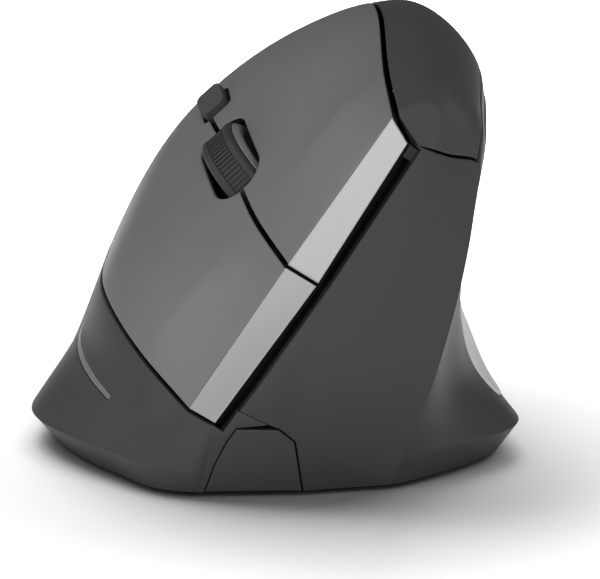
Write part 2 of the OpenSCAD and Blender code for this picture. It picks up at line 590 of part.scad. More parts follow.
board_x = [-22, wide(23.5)];
board_y = [-26, 11];
module wheel_hole(grow) {
    block([tyre_w + 2, 2 * tyre_r + 2, 12], [0, 0, frame_top - 6]);
    block([2 * (cheek_x + cheek_t + grow), cheek_l + 2 * grow, 12], [0, 0, frame_top - 6]);
}
module click_board() color([0.1, 0.3, 0.16]) on_finger() difference() {
    union() {
        translate([board_x[0], board_y[0], board_top - board_t])
            cube([board_x[1] - board_x[0], board_y[1] - board_y[0], board_t]);
        translate([dpi_at.x - 5, board_y[1] - 1, board_top - board_t])
            cube([10, dpi_at.y + 6 - board_y[1], board_t]);
    }
    wheel_hole(0.5);
    for (p = board_screw_at) pin_z(screw_r + 0.1, 4, [p.x, p.y, board_top - 3]);
}
board_screw_at = [[-18, 4], [19, 4], [-12, -23.5], [8, -23.5]];

module under_frame() on_finger() translate([-reach / 2, -reach / 2, frame_top - frame_t + 0.5 - reach])
    cube([reach, reach, reach]);
rib_t = 2.4;
leg_w = 5;
rib_foot = floor_top + 0.1;
arch_z = main_z + main_t + 0.6;
bay_top = floor_top + cell_d + 2.4;
module rib(y, points) translate([0, y + rib_t / 2, 0]) rotate([90, 0, 0])
    linear_extrude(height = rib_t) polygon(points);
// Lines of the two ribs under the key plates, as places across and up
front_rib_line = [[18, 30], [23.4, 44], [23.4, 56]];
rear_rib_line = [[26.6, 24], [25.8, 40], [25.8, 54], [-14, 34]];
function rib_line(points) = [for (q = points) [wide(q.x), up(q.y)]];
module front_rib() {
    a = case_screw_at[0];
    b = case_screw_at[1];
    rib(a.y, concat([[a.x - leg_w / 2, rib_foot], [a.x + leg_w / 2, rib_foot],
        [a.x + leg_w, arch_z], [b.x - leg_w, arch_z],
        [b.x - leg_w / 2, rib_foot], [b.x + leg_w / 2, rib_foot]],
        rib_line(front_rib_line), [[a.x - leg_w / 2, up(30)]]));
}
module rear_rib() {
    a = case_screw_at[2];
    b = case_screw_at[3];
    bay_x = cell_at.x - cell_d / 2 - bay_wall - 1;
    leg_x = max(b.x - leg_w / 2, cell_at.x + (cell_d + 1) / 2 + bay_wall + 0.4);
    rib(a.y, concat([[a.x - leg_w / 2, rib_foot], [a.x + leg_w / 2, rib_foot],
        [a.x + leg_w / 2, arch_z], [bay_x, arch_z], [bay_x, bay_top], [leg_x, bay_top],
        [leg_x, rib_foot], [b.x + leg_w / 2, rib_foot], [b.x + leg_w / 2, 10]],
        rib_line(rear_rib_line), [[a.x, 20]]));
}
module inner_frame() color([0.22, 0.22, 0.23]) difference() {
    union() {
        on_finger() {
            translate([board_x[0] + 2, board_y[0] - 1, frame_top - frame_t])
                cube([board_x[1] - board_x[0] - 2, pivot_y + 3.5 - board_y[0], frame_t]);
            for (s = [-1, 1]) block([post_w, 5, pivot_z + 2.4 - frame_top + frame_t / 2],
                [s * (lever_in + lever_out) / 2, pivot_y, frame_top - frame_t / 2]);
            for (p = board_screw_at)
                pin_z(2.4, board_top - board_t - frame_top + 0.4, [p.x, p.y, frame_top - 0.4]);
        }
        intersection() {
            under_frame();
            union() {
                front_rib();
                rear_rib();
                for (p = case_screw_at) pin_z(2.6, 8.4, [p.x, p.y, floor_top + 0.1]);
            }
        }
    }
    on_finger() {
        wheel_hole(0.2);
        pin_x(pivot_r + bore_gap, -lever_out, -lever_in, pivot_y, pivot_z);
        pin_x(pivot_r + bore_gap, lever_in, lever_out, pivot_y, pivot_z);
        for (p = board_screw_at) pin_z(screw_r - 0.1, 8, [p.x, p.y, board_top - board_t - 6]);
    }
    for (p = case_screw_at) pin_z(screw_r + 0.02, screw_l + 2.4, [p.x, p.y, 0]);
    translate([side_x - main_t - 0.1, forward_at.y - side_end - 0.1, forward_at.z - side_h / 2 - 0.1])
        cube([reach, back_at.y - forward_at.y + 2 * side_end + 0.2, reach]);
}

// Thumb keys: a curved cap on a short stem over a small switch on the upright side board
side_h = 10;
side_end = 5;
function key_middle(a, b) = skin_point((a + b) / 2, (thumb_key_w[0] + thumb_key_w[1]) / 2);
forward_at = key_middle(thumb_keys[0], thumb_split);
back_at = key_middle(thumb_split, thumb_keys[1]);
thumb_key_t = 1.8;
side_x = forward_at.x - thumb_key_t - 0.5 - tact_size.z - plunger_h - press_room;
module thumb_key(a, b, at) {
    skin(inset(thumb_key_sheet(a, b, 5), [0.3, 0.3, 0.3, 0.3]), thumb_key_t, thumb_proud);
    x0 = side_x + tact_size.z + plunger_h + press_room;
    translate([x0, at.y - 1.5, at.z - 1.5]) cube([at.x - 1 - x0, 3, 3]);
}
module forward_button() color([0.33, 0.33, 0.34]) thumb_key(thumb_keys[0], thumb_split, forward_at);
module back_button() color([0.33, 0.33, 0.34]) thumb_key(thumb_split, thumb_keys[1], back_at);
module side_board() color([0.1, 0.3, 0.16])
    translate([side_x - main_t, forward_at.y - side_end, forward_at.z - side_h / 2])
        cube([main_t, back_at.y - forward_at.y + 2 * side_end, side_h]);
module side_switches() color([0.12, 0.12, 0.13]) for (k = [forward_at, back_at])
    translate([side_x, k.y, k.z]) rotate([0, 90, 0]) tact([0, 0, 0]);

// Base: a flat plate with the battery bay, the receiver pocket and the bosses
module base_plate() color([0.15, 0.15, 0.16]) difference() {
    union() {
        intersection() {
            translate([0, 0, foot_h]) linear_extrude(height = 0.6) polygon(shrink(outline, 1.65));
            translate([-reach / 2, -38, 0]) cube(reach);
        }
        translate([0, 0, foot_h]) linear_extrude(height = base_t) polygon(shrink(outline, shell_t + 0.5));
        block([cell_d + 1 + 2 * bay_wall, bay_l + 2 * bay_wall, cell_d + 2.5],
            [cell_at.x, cell_at.y, foot_h + base_t / 2]);
        block([receiver_t + 2 * receiver_gap + 2.4, receiver_w + 2 * receiver_gap + 2.4, receiver_l + 0.6],
            [receiver_at.x, receiver_at.y, foot_h + base_t / 2]);
        for (p = main_post_at) pin_z(2.2, main_z - floor_top + 0.5, [p.x, p.y, floor_top - 0.5]);
    }
    block([cell_d + 1, bay_l, cell_d + 1.2 + base_t], [cell_at.x, cell_at.y, foot_h - 0.1]);
    block([door_w, door_l + 2 * door_gap, base_t + 0.2], [cell_at.x, cell_at.y, foot_h - 0.1]);
    pin_x(door_pin_r + bore_gap, cell_at.x - door_w / 2 - 1.3,
        cell_at.x + door_w / 2 + 1.3, hinge_y, hinge_z);
    block([receiver_t + 2 * receiver_gap, receiver_w + 2 * receiver_gap, receiver_l + 0.6],
        [receiver_at.x, receiver_at.y, foot_h - 0.1]);
    block([8, 9, 4], [sensor_at.x, sensor_at.y, 0]);
    block([3.6, 5 + power_travel, 4], [power_at.x, power_at.y, 0]);
    for (p = case_screw_at) {
        pin_z(screw_r + 0.15, 6, [p.x, p.y, 0]);
        pin_z(screw_head_r + 0.15, screw_head_h + 0.42, [p.x, p.y, foot_h - 0.3]);
    }
    for (f = feet) pad(f, 0, foot_pocket + 0.02, 0.15);
    for (p = main_post_at) pin_z(screw_r - 0.1, 4, [p.x, p.y, main_z - 3.5]);
}
main_post_at = [[-12, -28.5], [1, -28.5], [-9.5, 3], [1.5, 12]];
foot_pocket = foot_h - 0.2 + 0.5;
feet = [[-4, -41, 22, 6], [wide(-23), -17, 7, 16], [wide(29.6), -16, 6, 16], [1, 43.5, 20, 5]];
module pad(f, z, h, grow) translate([f[0], f[1], z]) linear_extrude(height = h)
    polygon(let (a = f[2] / 2 + grow, b = f[3] / 2 + grow, c = 2)
        [[a, -b + c], [a - c, -b], [c - a, -b], [-a, -b + c], [-a, b - c], [c - a, b], [a - c, b], [a, b - c]]);
module glide_feet() color([0.85, 0.85, 0.84]) for (f = feet) pad(f, 0, foot_pocket, 0);

module battery_door() color([0.17, 0.17, 0.18]) {
    w = door_w - 2 * door_gap;
    difference() {
        union() {
            translate([cell_at.x - w / 2, hinge_y, foot_h])
                cube([w, door_l - base_t / 2, base_t]);
            pin_x(base_t / 2, cell_at.x - w / 2, cell_at.x + w / 2, hinge_y, hinge_z);
            pin_x(door_pin_r, cell_at.x - w / 2 - 1, cell_at.x + w / 2 + 1, hinge_y, hinge_z);
        }
        for (k = [0:3])
            block([8 - k, 0.8, 0.5], [cell_at.x, cell_at.y + door_l / 2 - 5 - 1.8 * k, foot_h - 0.1]);
    }
}
module battery() color([0.3, 0.32, 0.34])
    translate([cell_at.x, cell_at.y - cell_l / 2, cell_z]) rotate([-90, 0, 0]) {
    cylinder(d = cell_d, h = cell_l - 1, $fn = 64);
    cylinder(d = 5.4, h = cell_l, $fn = 32);
}
module contact_spring() color([0.8, 0.8, 0.78])
    translate([cell_at.x, cell_at.y - bay_l / 2 + 0.1, cell_z]) rotate([-90, 0, 0]) {
    gap = (bay_l - cell_l) / 2;
    translate([-4.5, -4.5, 0]) cube([9, 9, 0.4]);
    rotate_extrude($fn = 32) for (k = [0:1])
        translate([3.4 - 0.5 * k, 0.65 + 0.5 * k]) circle(d = 0.8, $fn = 12);
    translate([2.7, -0.3, 0.3]) cube([1, 0.6, gap - 0.7]);
}
module contact_plate() color([0.8, 0.8, 0.78])
    block([9, 0.4, 9], [cell_at.x, cell_at.y + bay_l / 2 - 0.3, cell_z - 4.5]);

module usb_receiver() color([0.13, 0.13, 0.14])
    block([receiver_t, receiver_w, receiver_l - 12], [receiver_at.x, receiver_at.y, receiver_z]);
module receiver_plug() color([0.75, 0.75, 0.76]) difference() {
    block([4.5, 12, 12], [receiver_at.x, receiver_at.y, receiver_z + receiver_l - 12]);
    block([1.9, 11.2, 9], [receiver_at.x + 0.9, receiver_at.y, receiver_z + receiver_l - 8.8]);
}

module power_knob() color([0.7, 0.7, 0.7]) {
    y = power_at.y - power_travel / 2;
    block([3.2, 4.6, base_t - 0.5], [power_at.x, y, foot_h + 0.4]);
    block([1.4, 1.6, main_z - 3 - floor_top + 0.6], [power_at.x, y, floor_top - 0.2]);
    for (k = [-1, 0, 1]) block([3.2, 0.5, 0.3], [power_at.x, y + k * 1.2, foot_h + 0.15]);
}
module power_switch() color([0.6, 0.6, 0.62]) difference() {
    block([4.4, 9, 2.7], [power_at.x, power_at.y, main_z - 2.8]);
    block([1.8, 1.9 + power_travel, 1.8], [power_at.x, power_at.y, main_z - 3]);
}
module main_board() color([0.1, 0.3, 0.16]) difference() {
    translate([-16, -31.2, main_z]) cube([20, 61.2, main_t]);
    block([receiver_t + 5, receiver_w + 5, 4], [receiver_at.x, receiver_at.y, main_z - 1]);
    block([7, 8, 4], [sensor_at.x, sensor_at.y, main_z - 1]);
    for (p = main_post_at) pin_z(screw_r + 0.1, 4, [p.x, p.y, main_z - 1]);
}
module sensor() color([0.08, 0.08, 0.09]) {
    block([10.8, 14, 2.6], [sensor_at.x, sensor_at.y, main_z + main_t + 0.02]);
    block([6, 6.4, 2], [sensor_at.x, sensor_at.y, main_z + main_t - 1.9]);
}
module sensor_lens() color([0.75, 0.78, 0.8]) {
    block([12, 18, 1.2], [sensor_at.x, sensor_at.y, floor_top + 0.05]);
    block([7.4, 8.4, 1.2], [sensor_at.x, sensor_at.y, floor_top - 1.1]);
    block([6, 7, 1.2], [sensor_at.x, sensor_at.y, floor_top + 1.2]);
}

module screw(l) {
    pin_z(screw_r, l, [0, 0, screw_head_h - 0.05]);
    difference() {
        pin_z(screw_head_r, screw_head_h, [0, 0, 0]);
        for (a = [0, 90]) rotate(a) block([2.4, 0.6, 1.2], [0, 0, -0.6]);
    }
}
module case_screws() color([0.55, 0.55, 0.56]) for (p = case_screw_at)
    translate([p.x, p.y, foot_h + 0.1]) screw(screw_l);
module board_screws() color([0.55, 0.55, 0.56]) {
    on_finger() for (p = board_screw_at) translate([p.x, p.y, board_top + 1.2]) rotate([180, 0, 0])
        short_screw();
    for (p = main_post_at) translate([p.x, p.y, main_z + main_t + 1.2]) rotate([180, 0, 0]) short_screw();
}
module short_screw() {
    pin_z(screw_r - 0.15, 3.8, [0, 0, 1.1]);
    difference() {
        pin_z(2, 1.15, [0, 0, 0]);
        for (a = [0, 90]) rotate(a) block([2.2, 0.5, 1], [0, 0, -0.5]);
    }
}
// Flat cable from the main board up to the low edge of the click board
function to_world(p) =
    column(finger_m, 0) * p.x + column(finger_m, 1) * p.y + column(finger_m, 2) * p.z + column(finger_m, 3);
link_y = [-22, -14];
link_local_y = [-12, -4];
module board_link() color([0.85, 0.85, 0.8]) {
    z = main_z + main_t + 0.1;
    across = column(finger_m, 0);
    skin([[for (y = link_y) [[-15.5, y, z], [0, 0, -1]]],
        [for (y = link_y) [[-12.4, y, z], [0.5, 0, -1]]],
        [for (y = link_y) [[-11.9, y, z + 0.8], [1, 0, -0.3]]],
        [for (y = link_y) [[-11.7, y, z + 4], [1, 0, 0]]],
        [for (y = link_local_y) [to_world([board_x[0] - 0.1, y, board_top - board_t + 0.3]), across]]], 0.4);
}

base_plate();
glide_feet();
battery_door();
power_knob();
power_switch();
front_insert();
finger_skirt();
skirt_accent();
palm_shell();
thumb_shell();
thumb_rest();
top_cap();
index_button();
index_trim();
index_lever();
middle_button();
middle_trim();
middle_lever();
wheel_tyre();
wheel_hub();
wheel_carrier();
wheel_sensors();
dpi_button();
forward_button();
back_button();
inner_frame();
click_board();
index_switch();
middle_switch();
wheel_switch();
dpi_switch();
side_board();
side_switches();
main_board();
sensor();
sensor_lens();
battery();
contact_spring();
contact_plate();
usb_receiver();
receiver_plug();
case_screws();
board_screws();
board_link();
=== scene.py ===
"""Looks of a right-handed vertical mouse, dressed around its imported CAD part."""
import math

import bmesh
import bpy
import numpy as np
from mathutils import Matrix, Vector


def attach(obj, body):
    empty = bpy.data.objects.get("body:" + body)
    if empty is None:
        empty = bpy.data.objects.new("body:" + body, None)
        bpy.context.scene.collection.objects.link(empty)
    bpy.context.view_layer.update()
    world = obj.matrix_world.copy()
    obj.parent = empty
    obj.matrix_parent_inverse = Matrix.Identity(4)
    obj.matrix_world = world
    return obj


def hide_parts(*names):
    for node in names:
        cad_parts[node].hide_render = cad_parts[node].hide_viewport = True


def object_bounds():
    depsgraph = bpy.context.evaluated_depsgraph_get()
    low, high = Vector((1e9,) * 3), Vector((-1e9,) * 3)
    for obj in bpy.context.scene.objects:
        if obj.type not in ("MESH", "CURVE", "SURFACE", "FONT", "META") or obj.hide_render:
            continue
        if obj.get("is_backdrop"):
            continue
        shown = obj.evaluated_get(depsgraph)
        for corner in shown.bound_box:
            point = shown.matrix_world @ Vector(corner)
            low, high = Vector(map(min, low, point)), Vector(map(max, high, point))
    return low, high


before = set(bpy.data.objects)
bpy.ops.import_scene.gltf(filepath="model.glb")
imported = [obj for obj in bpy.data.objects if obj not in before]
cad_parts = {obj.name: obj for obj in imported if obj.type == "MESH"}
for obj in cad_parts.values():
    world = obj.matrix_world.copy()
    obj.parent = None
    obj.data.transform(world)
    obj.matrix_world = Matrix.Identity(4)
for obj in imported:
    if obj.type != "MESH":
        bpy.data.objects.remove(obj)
cad_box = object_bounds()

MM = 0.001

# ---------------------------------------------------------------- the body's surface
# The same lines as in the part's source, in millimetres. Each row is one rail, from the front to the rear: rail 0
# runs along the foot of the finger side, and rail 12 along the foot of the thumb side.
LOW = 0.8
MIDDLE = np.array([1.0, -0.1, 0.0])
RAILS = [
    [(-15.3, -49, LOW), (-20, -47, LOW), (-27, -36, LOW), (-34, -14, LOW),
     (-29.5, 10, LOW), (-22, 33, LOW), (-12, 46.5, LOW)],
    [(-15, -49.8, 3.5), (-21, -47.5, 4.5), (-29.6, -36, 5), (-37.6, -14, 5),
     (-31.7, 10, 5), (-23.9, 33, 5), (-13, 48.5, 5)],
    [(-14.2, -50.6, 7.5), (-19.3, -48, 8.9), (-25.2, -36, 13.8), (-29, -14, 17),
     (-25.2, 10, 17.4), (-20.5, 33, 16.9), (-12, 48, 13.5)],
    [(-13.7, -51, 11.8), (-17.3, -48.7, 13.7), (-22.6, -36, 19), (-26, -14, 24.5),
     (-22.4, 10, 25.5), (-17.5, 33, 24), (-10.5, 46.5, 21.5)],
    [(2, -52.5, 33.4), (-2, -48.8, 35.6), (-4.6, -36, 40), (-6.1, -14, 47.9),
     (-6.7, 10, 51), (-3.7, 33, 42), None],
    [(16.1, -51, 54.5), (14.5, -47.6, 57.8), (15.6, -36, 62.4), (18.9, -14, 69.2),
     (20.5, 10, 66), (14.5, 33, 53), None],
    [(23, -50, 51.8), (22.1, -47.5, 58.4), (22.9, -36, 65.2), (25.4, -14, 69.6),
     (25.8, 10, 66.3), (20, 33, 52), None],
    [(27.3, -49.2, 50.7), (28.4, -46.5, 53.5), (30.8, -36, 57.1), (35.3, -14, 60.2),
     (35.3, 10, 56.1), (26.5, 33, 45), None],
    [(26.9, -49.3, 44), (28.2, -45, 44.5), (30.7, -36, 46), (33.8, -14, 46.5),
     (34.2, 10, 44), (28, 33, 36), None],
    [(24.3, -49.9, 30), (25.4, -45.5, 30), (28.1, -36, 30), (30.1, -14, 30),
     (30.4, 10, 29.5), (26, 33, 26), (15, 46, 22)],
    [(20.1, -50.8, 16), (22, -47, 15), (28.9, -36, 14.5), (34.9, -14, 14.5),
     (36, 10, 14.5), (29, 33, 14), (15.5, 48, 13.5)],
    [(16, -50.3, 5), (22.5, -46.5, 5), (37.8, -34, 5), (39.1, -14, 5),
     (38.5, 10, 5), (31, 33, 5), (16, 48.5, 5)],
    [(14, -50.1, LOW), (22, -45.5, LOW), (34.8, -33.4, LOW), (36.6, -14, LOW),
     (36.2, 10, LOW), (28.5, 33, LOW), (15, 46.5, LOW)],
]
# Rails that carry an edge: the flared rims, the seam under the keys, the split between them and the cap's two seams
RIM_LEFT, SEAM, SPLIT, CAP_LOW, CAP_HIGH, RIM_RIGHT, LAST_RAIL = 1, 3, 4, 5, 7, 11, 12
# Stations: the rear edge of the silver strips, the rear edge of keys and cap, and the end of the rails
STRIP_END, REAR, LAST = 1, 4.0, 6


def unit(v):
    v = np.asarray(v, float)
    return v / np.linalg.norm(v, axis=-1, keepdims=True)


def hermite(a, b, ma, mb, f):
    """The cubic from a to b with the headings ma and mb, at the share f of the way."""
    return ((2 * f**3 - 3 * f**2 + 1) * a + (f**3 - 2 * f**2 + f) * ma
            + (3 * f**2 - 2 * f**3) * b + (f**3 - f**2) * mb)


STERN_HEADING = unit([(0.78, 0.62, 0), (0.8, 0.6, 0), (0.8, 0.6, 0), (0.78, 0.6, -0.15)])
STERN_BULGE = 1.05
CREASE_END = 2
TOP_HEADING = unit((0, 0.28, -0.96))


def stern_rail(i, s):
    """Points of rail i carried on round the stern, from the finger side (s = 0) to the thumb side (s = 1)."""
    a = np.array(RAILS[i][LAST]) - MIDDLE
    b = np.array(RAILS[LAST_RAIL - i][LAST]) - MIDDLE
    m = np.linalg.norm(b - a) * STERN_BULGE
    h = STERN_HEADING[i]
    s = np.asarray(s, float)[..., None]
    return hermite(a, b, h * m, h * (1, -1, -1) * m, s)


def headings(p, creased, end=None):
    """Headings into and out of every point of the lines p[..., point, xyz]."""
    d = np.linalg.norm(p[..., 1:, :] - p[..., :-1, :], axis=-1)
    leg = (p[..., 1:, :] - p[..., :-1, :]) / d[..., None]
    d = d[..., None]
    turn = (leg[..., :-1, :] * d[..., 1:, :] + leg[..., 1:, :] * d[..., :-1, :]) / (d[..., 1:, :] + d[..., :-1, :])
    into, out = np.empty_like(p), np.empty_like(p)
    into[..., 0, :], out[..., -1, :] = leg[..., 0, :], leg[..., -1, :]
    into[..., 1:-1, :], out[..., 1:-1, :] = turn, turn
    for k in creased:
        into[..., k, :], out[..., k, :] = leg[..., k - 1, :], leg[..., k, :]
    out[..., 0, :] = leg[..., 0, :] if 1 in creased else 2 * leg[..., 0, :] - turn[..., 0, :]
    last = p.shape[-2] - 2
    into[..., -1, :] = leg[..., -1, :] if last in creased else 2 * leg[..., -1, :] - turn[..., -1, :]
    if end is not None:
        into[..., -1, :] = end
    return into, out, d


def key_rail(i):
    """True for the rails along the keys, which have a crease at the strips' rear edge."""
    return SEAM <= i <= CAP_LOW


rail_points = []
for i, row in enumerate(RAILS):
    on_stern = stern_rail(SEAM, (i - SEAM) / (LAST_RAIL - 2 * SEAM))
    rail_points.append([np.array(p) - MIDDLE if p else on_stern for p in row])
rail_points = np.array(rail_points)
rail_headings = []
for i in range(LAST_RAIL + 1):
    if i <= SEAM:
        end = STERN_HEADING[i]
    elif i >= LAST_RAIL - SEAM:
        end = STERN_HEADING[LAST_RAIL - i] * (-1, 1, 1)
    else:
        end = TOP_HEADING
    rail_headings.append(headings(rail_points[i], (STRIP_END,) if key_rail(i) else (), end))


def along(p, into, out, d, x):
    """Points at the numbers x along the lines p[n, point, xyz]."""
    k = np.clip(np.floor(x).astype(int), 0, p.shape[1] - 2)
    n = np.arange(len(x))
    f = (x - k)[:, None]
    length = d[n, k]
    return hermite(p[n, k], p[n, k + 1], out[n, k] * length, into[n, k + 1] * length, f)


def across_headings(p, s):
    """Headings across the rails, creased along the key rails by the share s."""
    soft = headings(p, (RIM_LEFT, RIM_RIGHT))
    hard = headings(p, (RIM_LEFT, SEAM, SPLIT, CAP_LOW, RIM_RIGHT))
    s = s[:, None, None]
    return soft[0] * (1 - s) + hard[0] * s, soft[1] * (1 - s) + hard[1] * s, soft[2]


def surface(t, w):
    """Points of the body at stations t and rails w (arrays of one shape)."""
    t, w = np.broadcast_arrays(np.asarray(t, float), np.asarray(w, float))
    shape = t.shape
    t, w = np.clip(t.ravel(), 0, LAST), np.clip(w.ravel(), 0, LAST_RAIL)
    p = np.empty((len(t), LAST_RAIL + 1, 3))
    for i in range(LAST_RAIL + 1):
        into, out, d = rail_headings[i]
        rows = lambda a: np.broadcast_to(a, (len(t),) + a.shape)
        p[:, i] = along(rows(rail_points[i]), rows(into), rows(out), rows(d), t)
    into, out, d = across_headings(p, np.clip(CREASE_END - t, 0, 1))
    return along(p, into, out, d, w).reshape(shape + (3,))


def stern_surface(s, w):
    """Points of the skirt round the stern at shares s of the way and rails w."""
    s, w = np.broadcast_arrays(np.asarray(s, float), np.asarray(w, float))
    shape = s.shape
    s, w = np.clip(s.ravel(), 0, 1), np.clip(w.ravel(), 0, SEAM)
    p = np.stack([stern_rail(i, s) for i in range(SEAM + 1)], axis=1)
    into, out, d = headings(p, (RIM_LEFT,))
    return along(p, into, out, d, w).reshape(shape + (3,))


PROBE = 0.02


def normals(f, t, w):
    """Outward normals of the surface f."""
    dt = f(t + PROBE, w) - f(t - PROBE, w)
    dw = f(t, w + PROBE) - f(t, w - PROBE)
    return unit(np.cross(dw, dt))


def speeds(f, t, w):
    """Millimetres per unit of t and per unit of w."""
    return (np.linalg.norm(f(t + PROBE, w) - f(t - PROBE, w), axis=-1) / (2 * PROBE),
            np.linalg.norm(f(t, w + PROBE) - f(t, w - PROBE), axis=-1) / (2 * PROBE))


# The frame on the finger side at the wheel: X across, Y to the rear, Z outwards
WHEEL_T, STEP = 2.83, 0.05
forward = unit(surface(WHEEL_T - STEP, SPLIT) - surface(WHEEL_T + STEP, SPLIT))
upward = surface(WHEEL_T, SPLIT + STEP) - surface(WHEEL_T, SPLIT - STEP)
outward = unit(np.cross(forward, upward))
FINGER = np.stack([np.cross(outward, forward), -forward, outward], axis=1)
FINGER_AT = surface(WHEEL_T, SPLIT)


def to_finger(p):
    """Points in the finger side's frame."""
    return (p - FINGER_AT) @ FINGER


# ---------------------------------------------------------------- camera
TARGET = Vector((0.5, -40.6, 30.0)) * MM
AZIMUTH, ELEVATION, DISTANCE = math.radians(10), math.radians(13), 480 * MM
FOCAL_PX, WIDTH_PX, SENSOR = 3120, 600, 36.0
heading = Vector((math.sin(AZIMUTH) * math.cos(ELEVATION), math.cos(AZIMUTH) * math.cos(ELEVATION),
                  -math.sin(ELEVATION)))
camera = bpy.data.objects.new("camera", bpy.data.cameras.new("camera"))
camera.data.sensor_width = SENSOR
camera.data.lens = FOCAL_PX / WIDTH_PX * SENSOR
camera.data.clip_start = 0.05
camera.location = TARGET - heading * DISTANCE
camera.rotation_euler = heading.to_track_quat("-Z", "Y").to_euler()
bpy.context.collection.objects.link(camera)
scene = bpy.context.scene
scene.camera = camera
scene.view_settings.view_transform = "Standard"


# ---------------------------------------------------------------- shader helpers
class Socket:
    """Wraps one output socket, so that shader maths reads as an expression."""

    def __init__(self, tree, out):
        self.tree, self.out = tree, out

    def _math(self, operation, *values):
        return self.tree.node("ShaderNodeMath", {"operation": operation}, dict(enumerate(values)))

    def __add__(self, o): return self._math("ADD", self, o)
    def __radd__(self, o): return self._math("ADD", o, self)
    def __sub__(self, o): return self._math("SUBTRACT", self, o)
    def __rsub__(self, o): return self._math("SUBTRACT", o, self)
    def __mul__(self, o): return self._math("MULTIPLY", self, o)
    def __rmul__(self, o): return self._math("MULTIPLY", o, self)
    def __truediv__(self, o): return self._math("DIVIDE", self, o)
    def __pow__(self, o): return self._math("POWER", self, o)


class Material:
    """One procedural material, built from nodes."""

    def __init__(self, name):
        self.material = bpy.data.materials.new(name)
        self.material.use_nodes = True
        self.nodes = self.material.node_tree.nodes
        self.links = self.material.node_tree.links
        self.bsdf = self.nodes["Principled BSDF"]
        self.place = self.node("ShaderNodeTexCoord", {}, {}, "Object")

    def node(self, kind, settings=None, values=None, out=0):
        n = self.nodes.new(kind)
        for key, value in (settings or {}).items():
            setattr(n, key, value)
        for key, value in (values or {}).items():
            self.feed(n.inputs[key], value)
        return Socket(self, n.outputs[out])

    def feed(self, socket, value):
        if isinstance(value, Socket):
            self.links.new(value.out, socket)
        else:
            socket.default_value = value

    def noise(self, scale, detail=3, roughness=0.55):
        return self.node("ShaderNodeTexNoise", {}, {"Vector": self.place, "Scale": scale, "Detail": detail,
                                                    "Roughness": roughness})

    def bump(self, height, strength, distance):
        return self.node("ShaderNodeBump", {}, {"Height": height, "Strength": strength, "Distance": distance})

    def mix_colour(self, factor, a, b):
        n = self.nodes.new("ShaderNodeMix")
        n.data_type = "RGBA"
        self.feed(n.inputs["Factor"], factor)
        self.feed(n.inputs[6], a)
        self.feed(n.inputs[7], b)
        return Socket(self, n.outputs[2])

    def set(self, **values):
        for key, value in values.items():
            self.feed(self.bsdf.inputs[key.replace("_", " ")], value)
        return self


COOL = 1.02


def grey(v):
    """A grey with a trace of blue."""
    return (v, v, v * COOL, 1)


WEAR_SCALE, LACQUER_WEAR_SCALE, FLAKE_SCALE, UNEVEN_SCALE = 60, 80, 9000, 300


def moulded(name, level, rough, grain=2600, depth=0.00002, spread=0.06, gloss=0.5):
    """Moulded plastic: a fine spark-eroded grain, with faint wear in the gloss."""
    m = Material(name)
    cloud = m.noise(WEAR_SCALE, 2)
    fine = m.noise(grain, 2)
    colour = m.mix_colour(cloud, grey(level * 0.96), grey(level * 1.04))
    m.set(Base_Color=colour, Roughness=rough + (cloud - 0.5) * spread, Normal=m.bump(fine, 0.35, depth))
    m.bsdf.inputs["Specular IOR Level"].default_value = gloss
    return m.material


shell_mat = moulded("satin black moulding", 0.038, 0.5)
key_mat = moulded("satin grey key plate", 0.165, 0.42)
cap_mat = moulded("satin black cap", 0.056, 0.5, gloss=0.4)
rest_mat = moulded("soft grip", 0.74, 0.6, 1500)
small_key_mat = moulded("satin small key", 0.06, 0.45)
tyre_mat = moulded("wheel rubber", 0.03, 0.65, 1800)
chassis_mat = moulded("plain black moulding", 0.012, 0.8, gloss=0.15)
rib_mat = moulded("dark grey frame", 0.03, 0.6)
base_mat = moulded("grained black base", 0.03, 0.6, 1400, 0.00004)


def silver_paint(name, level, rough):
    """Lacquer with metal flakes of uneven brightness."""
    m = Material(name)
    flake = m.noise(FLAKE_SCALE, 2, 0.7)
    cloud = m.noise(LACQUER_WEAR_SCALE, 2)
    colour = m.mix_colour(flake, grey(level * 0.8), grey(level * 1.2))
    m.set(Base_Color=colour, Roughness=rough + (cloud - 0.5) * 0.05, Normal=m.bump(flake, 0.2, 0.00001))
    m.bsdf.inputs["Metallic"].default_value = 0.6
    return m.material


strip_mat = silver_paint("silver flake lacquer", 0.44, 0.38)
hub_mat = silver_paint("bright hub", 0.4, 0.35)


def plain(name, colour, rough, metal=0.0):
    """A plain material, a little uneven in colour and gloss."""
    m = Material(name)
    cloud = m.noise(UNEVEN_SCALE, 3)
    darker, lighter = [c * 0.92 for c in colour] + [1], [min(c * 1.08, 1) for c in colour] + [1]
    m.set(Base_Color=m.mix_colour(cloud, darker, lighter), Roughness=rough + (cloud - 0.5) * 0.08)
    m.bsdf.inputs["Metallic"].default_value = metal
    return m.material


glide_mat = plain("low-friction pad", (0.75, 0.75, 0.72), 0.35)
board_mat = plain("solder mask", (0.008, 0.06, 0.02), 0.45)
switch_mat = plain("black switch moulding", (0.02, 0.02, 0.02), 0.4)
steel_mat = plain("nickel plate", (0.6, 0.59, 0.56), 0.3, 1.0)
cell_mat = plain("cell sleeve", (0.12, 0.16, 0.22), 0.35, 0.3)
lens_mat = plain("clear lens", (0.8, 0.85, 0.9), 0.08)
knob_mat = plain("grey knob", (0.35, 0.35, 0.36), 0.45)
accent_mat = moulded("light inlay", 0.17, 0.4)
film_mat = plain("flat film", (0.7, 0.68, 0.6), 0.4)

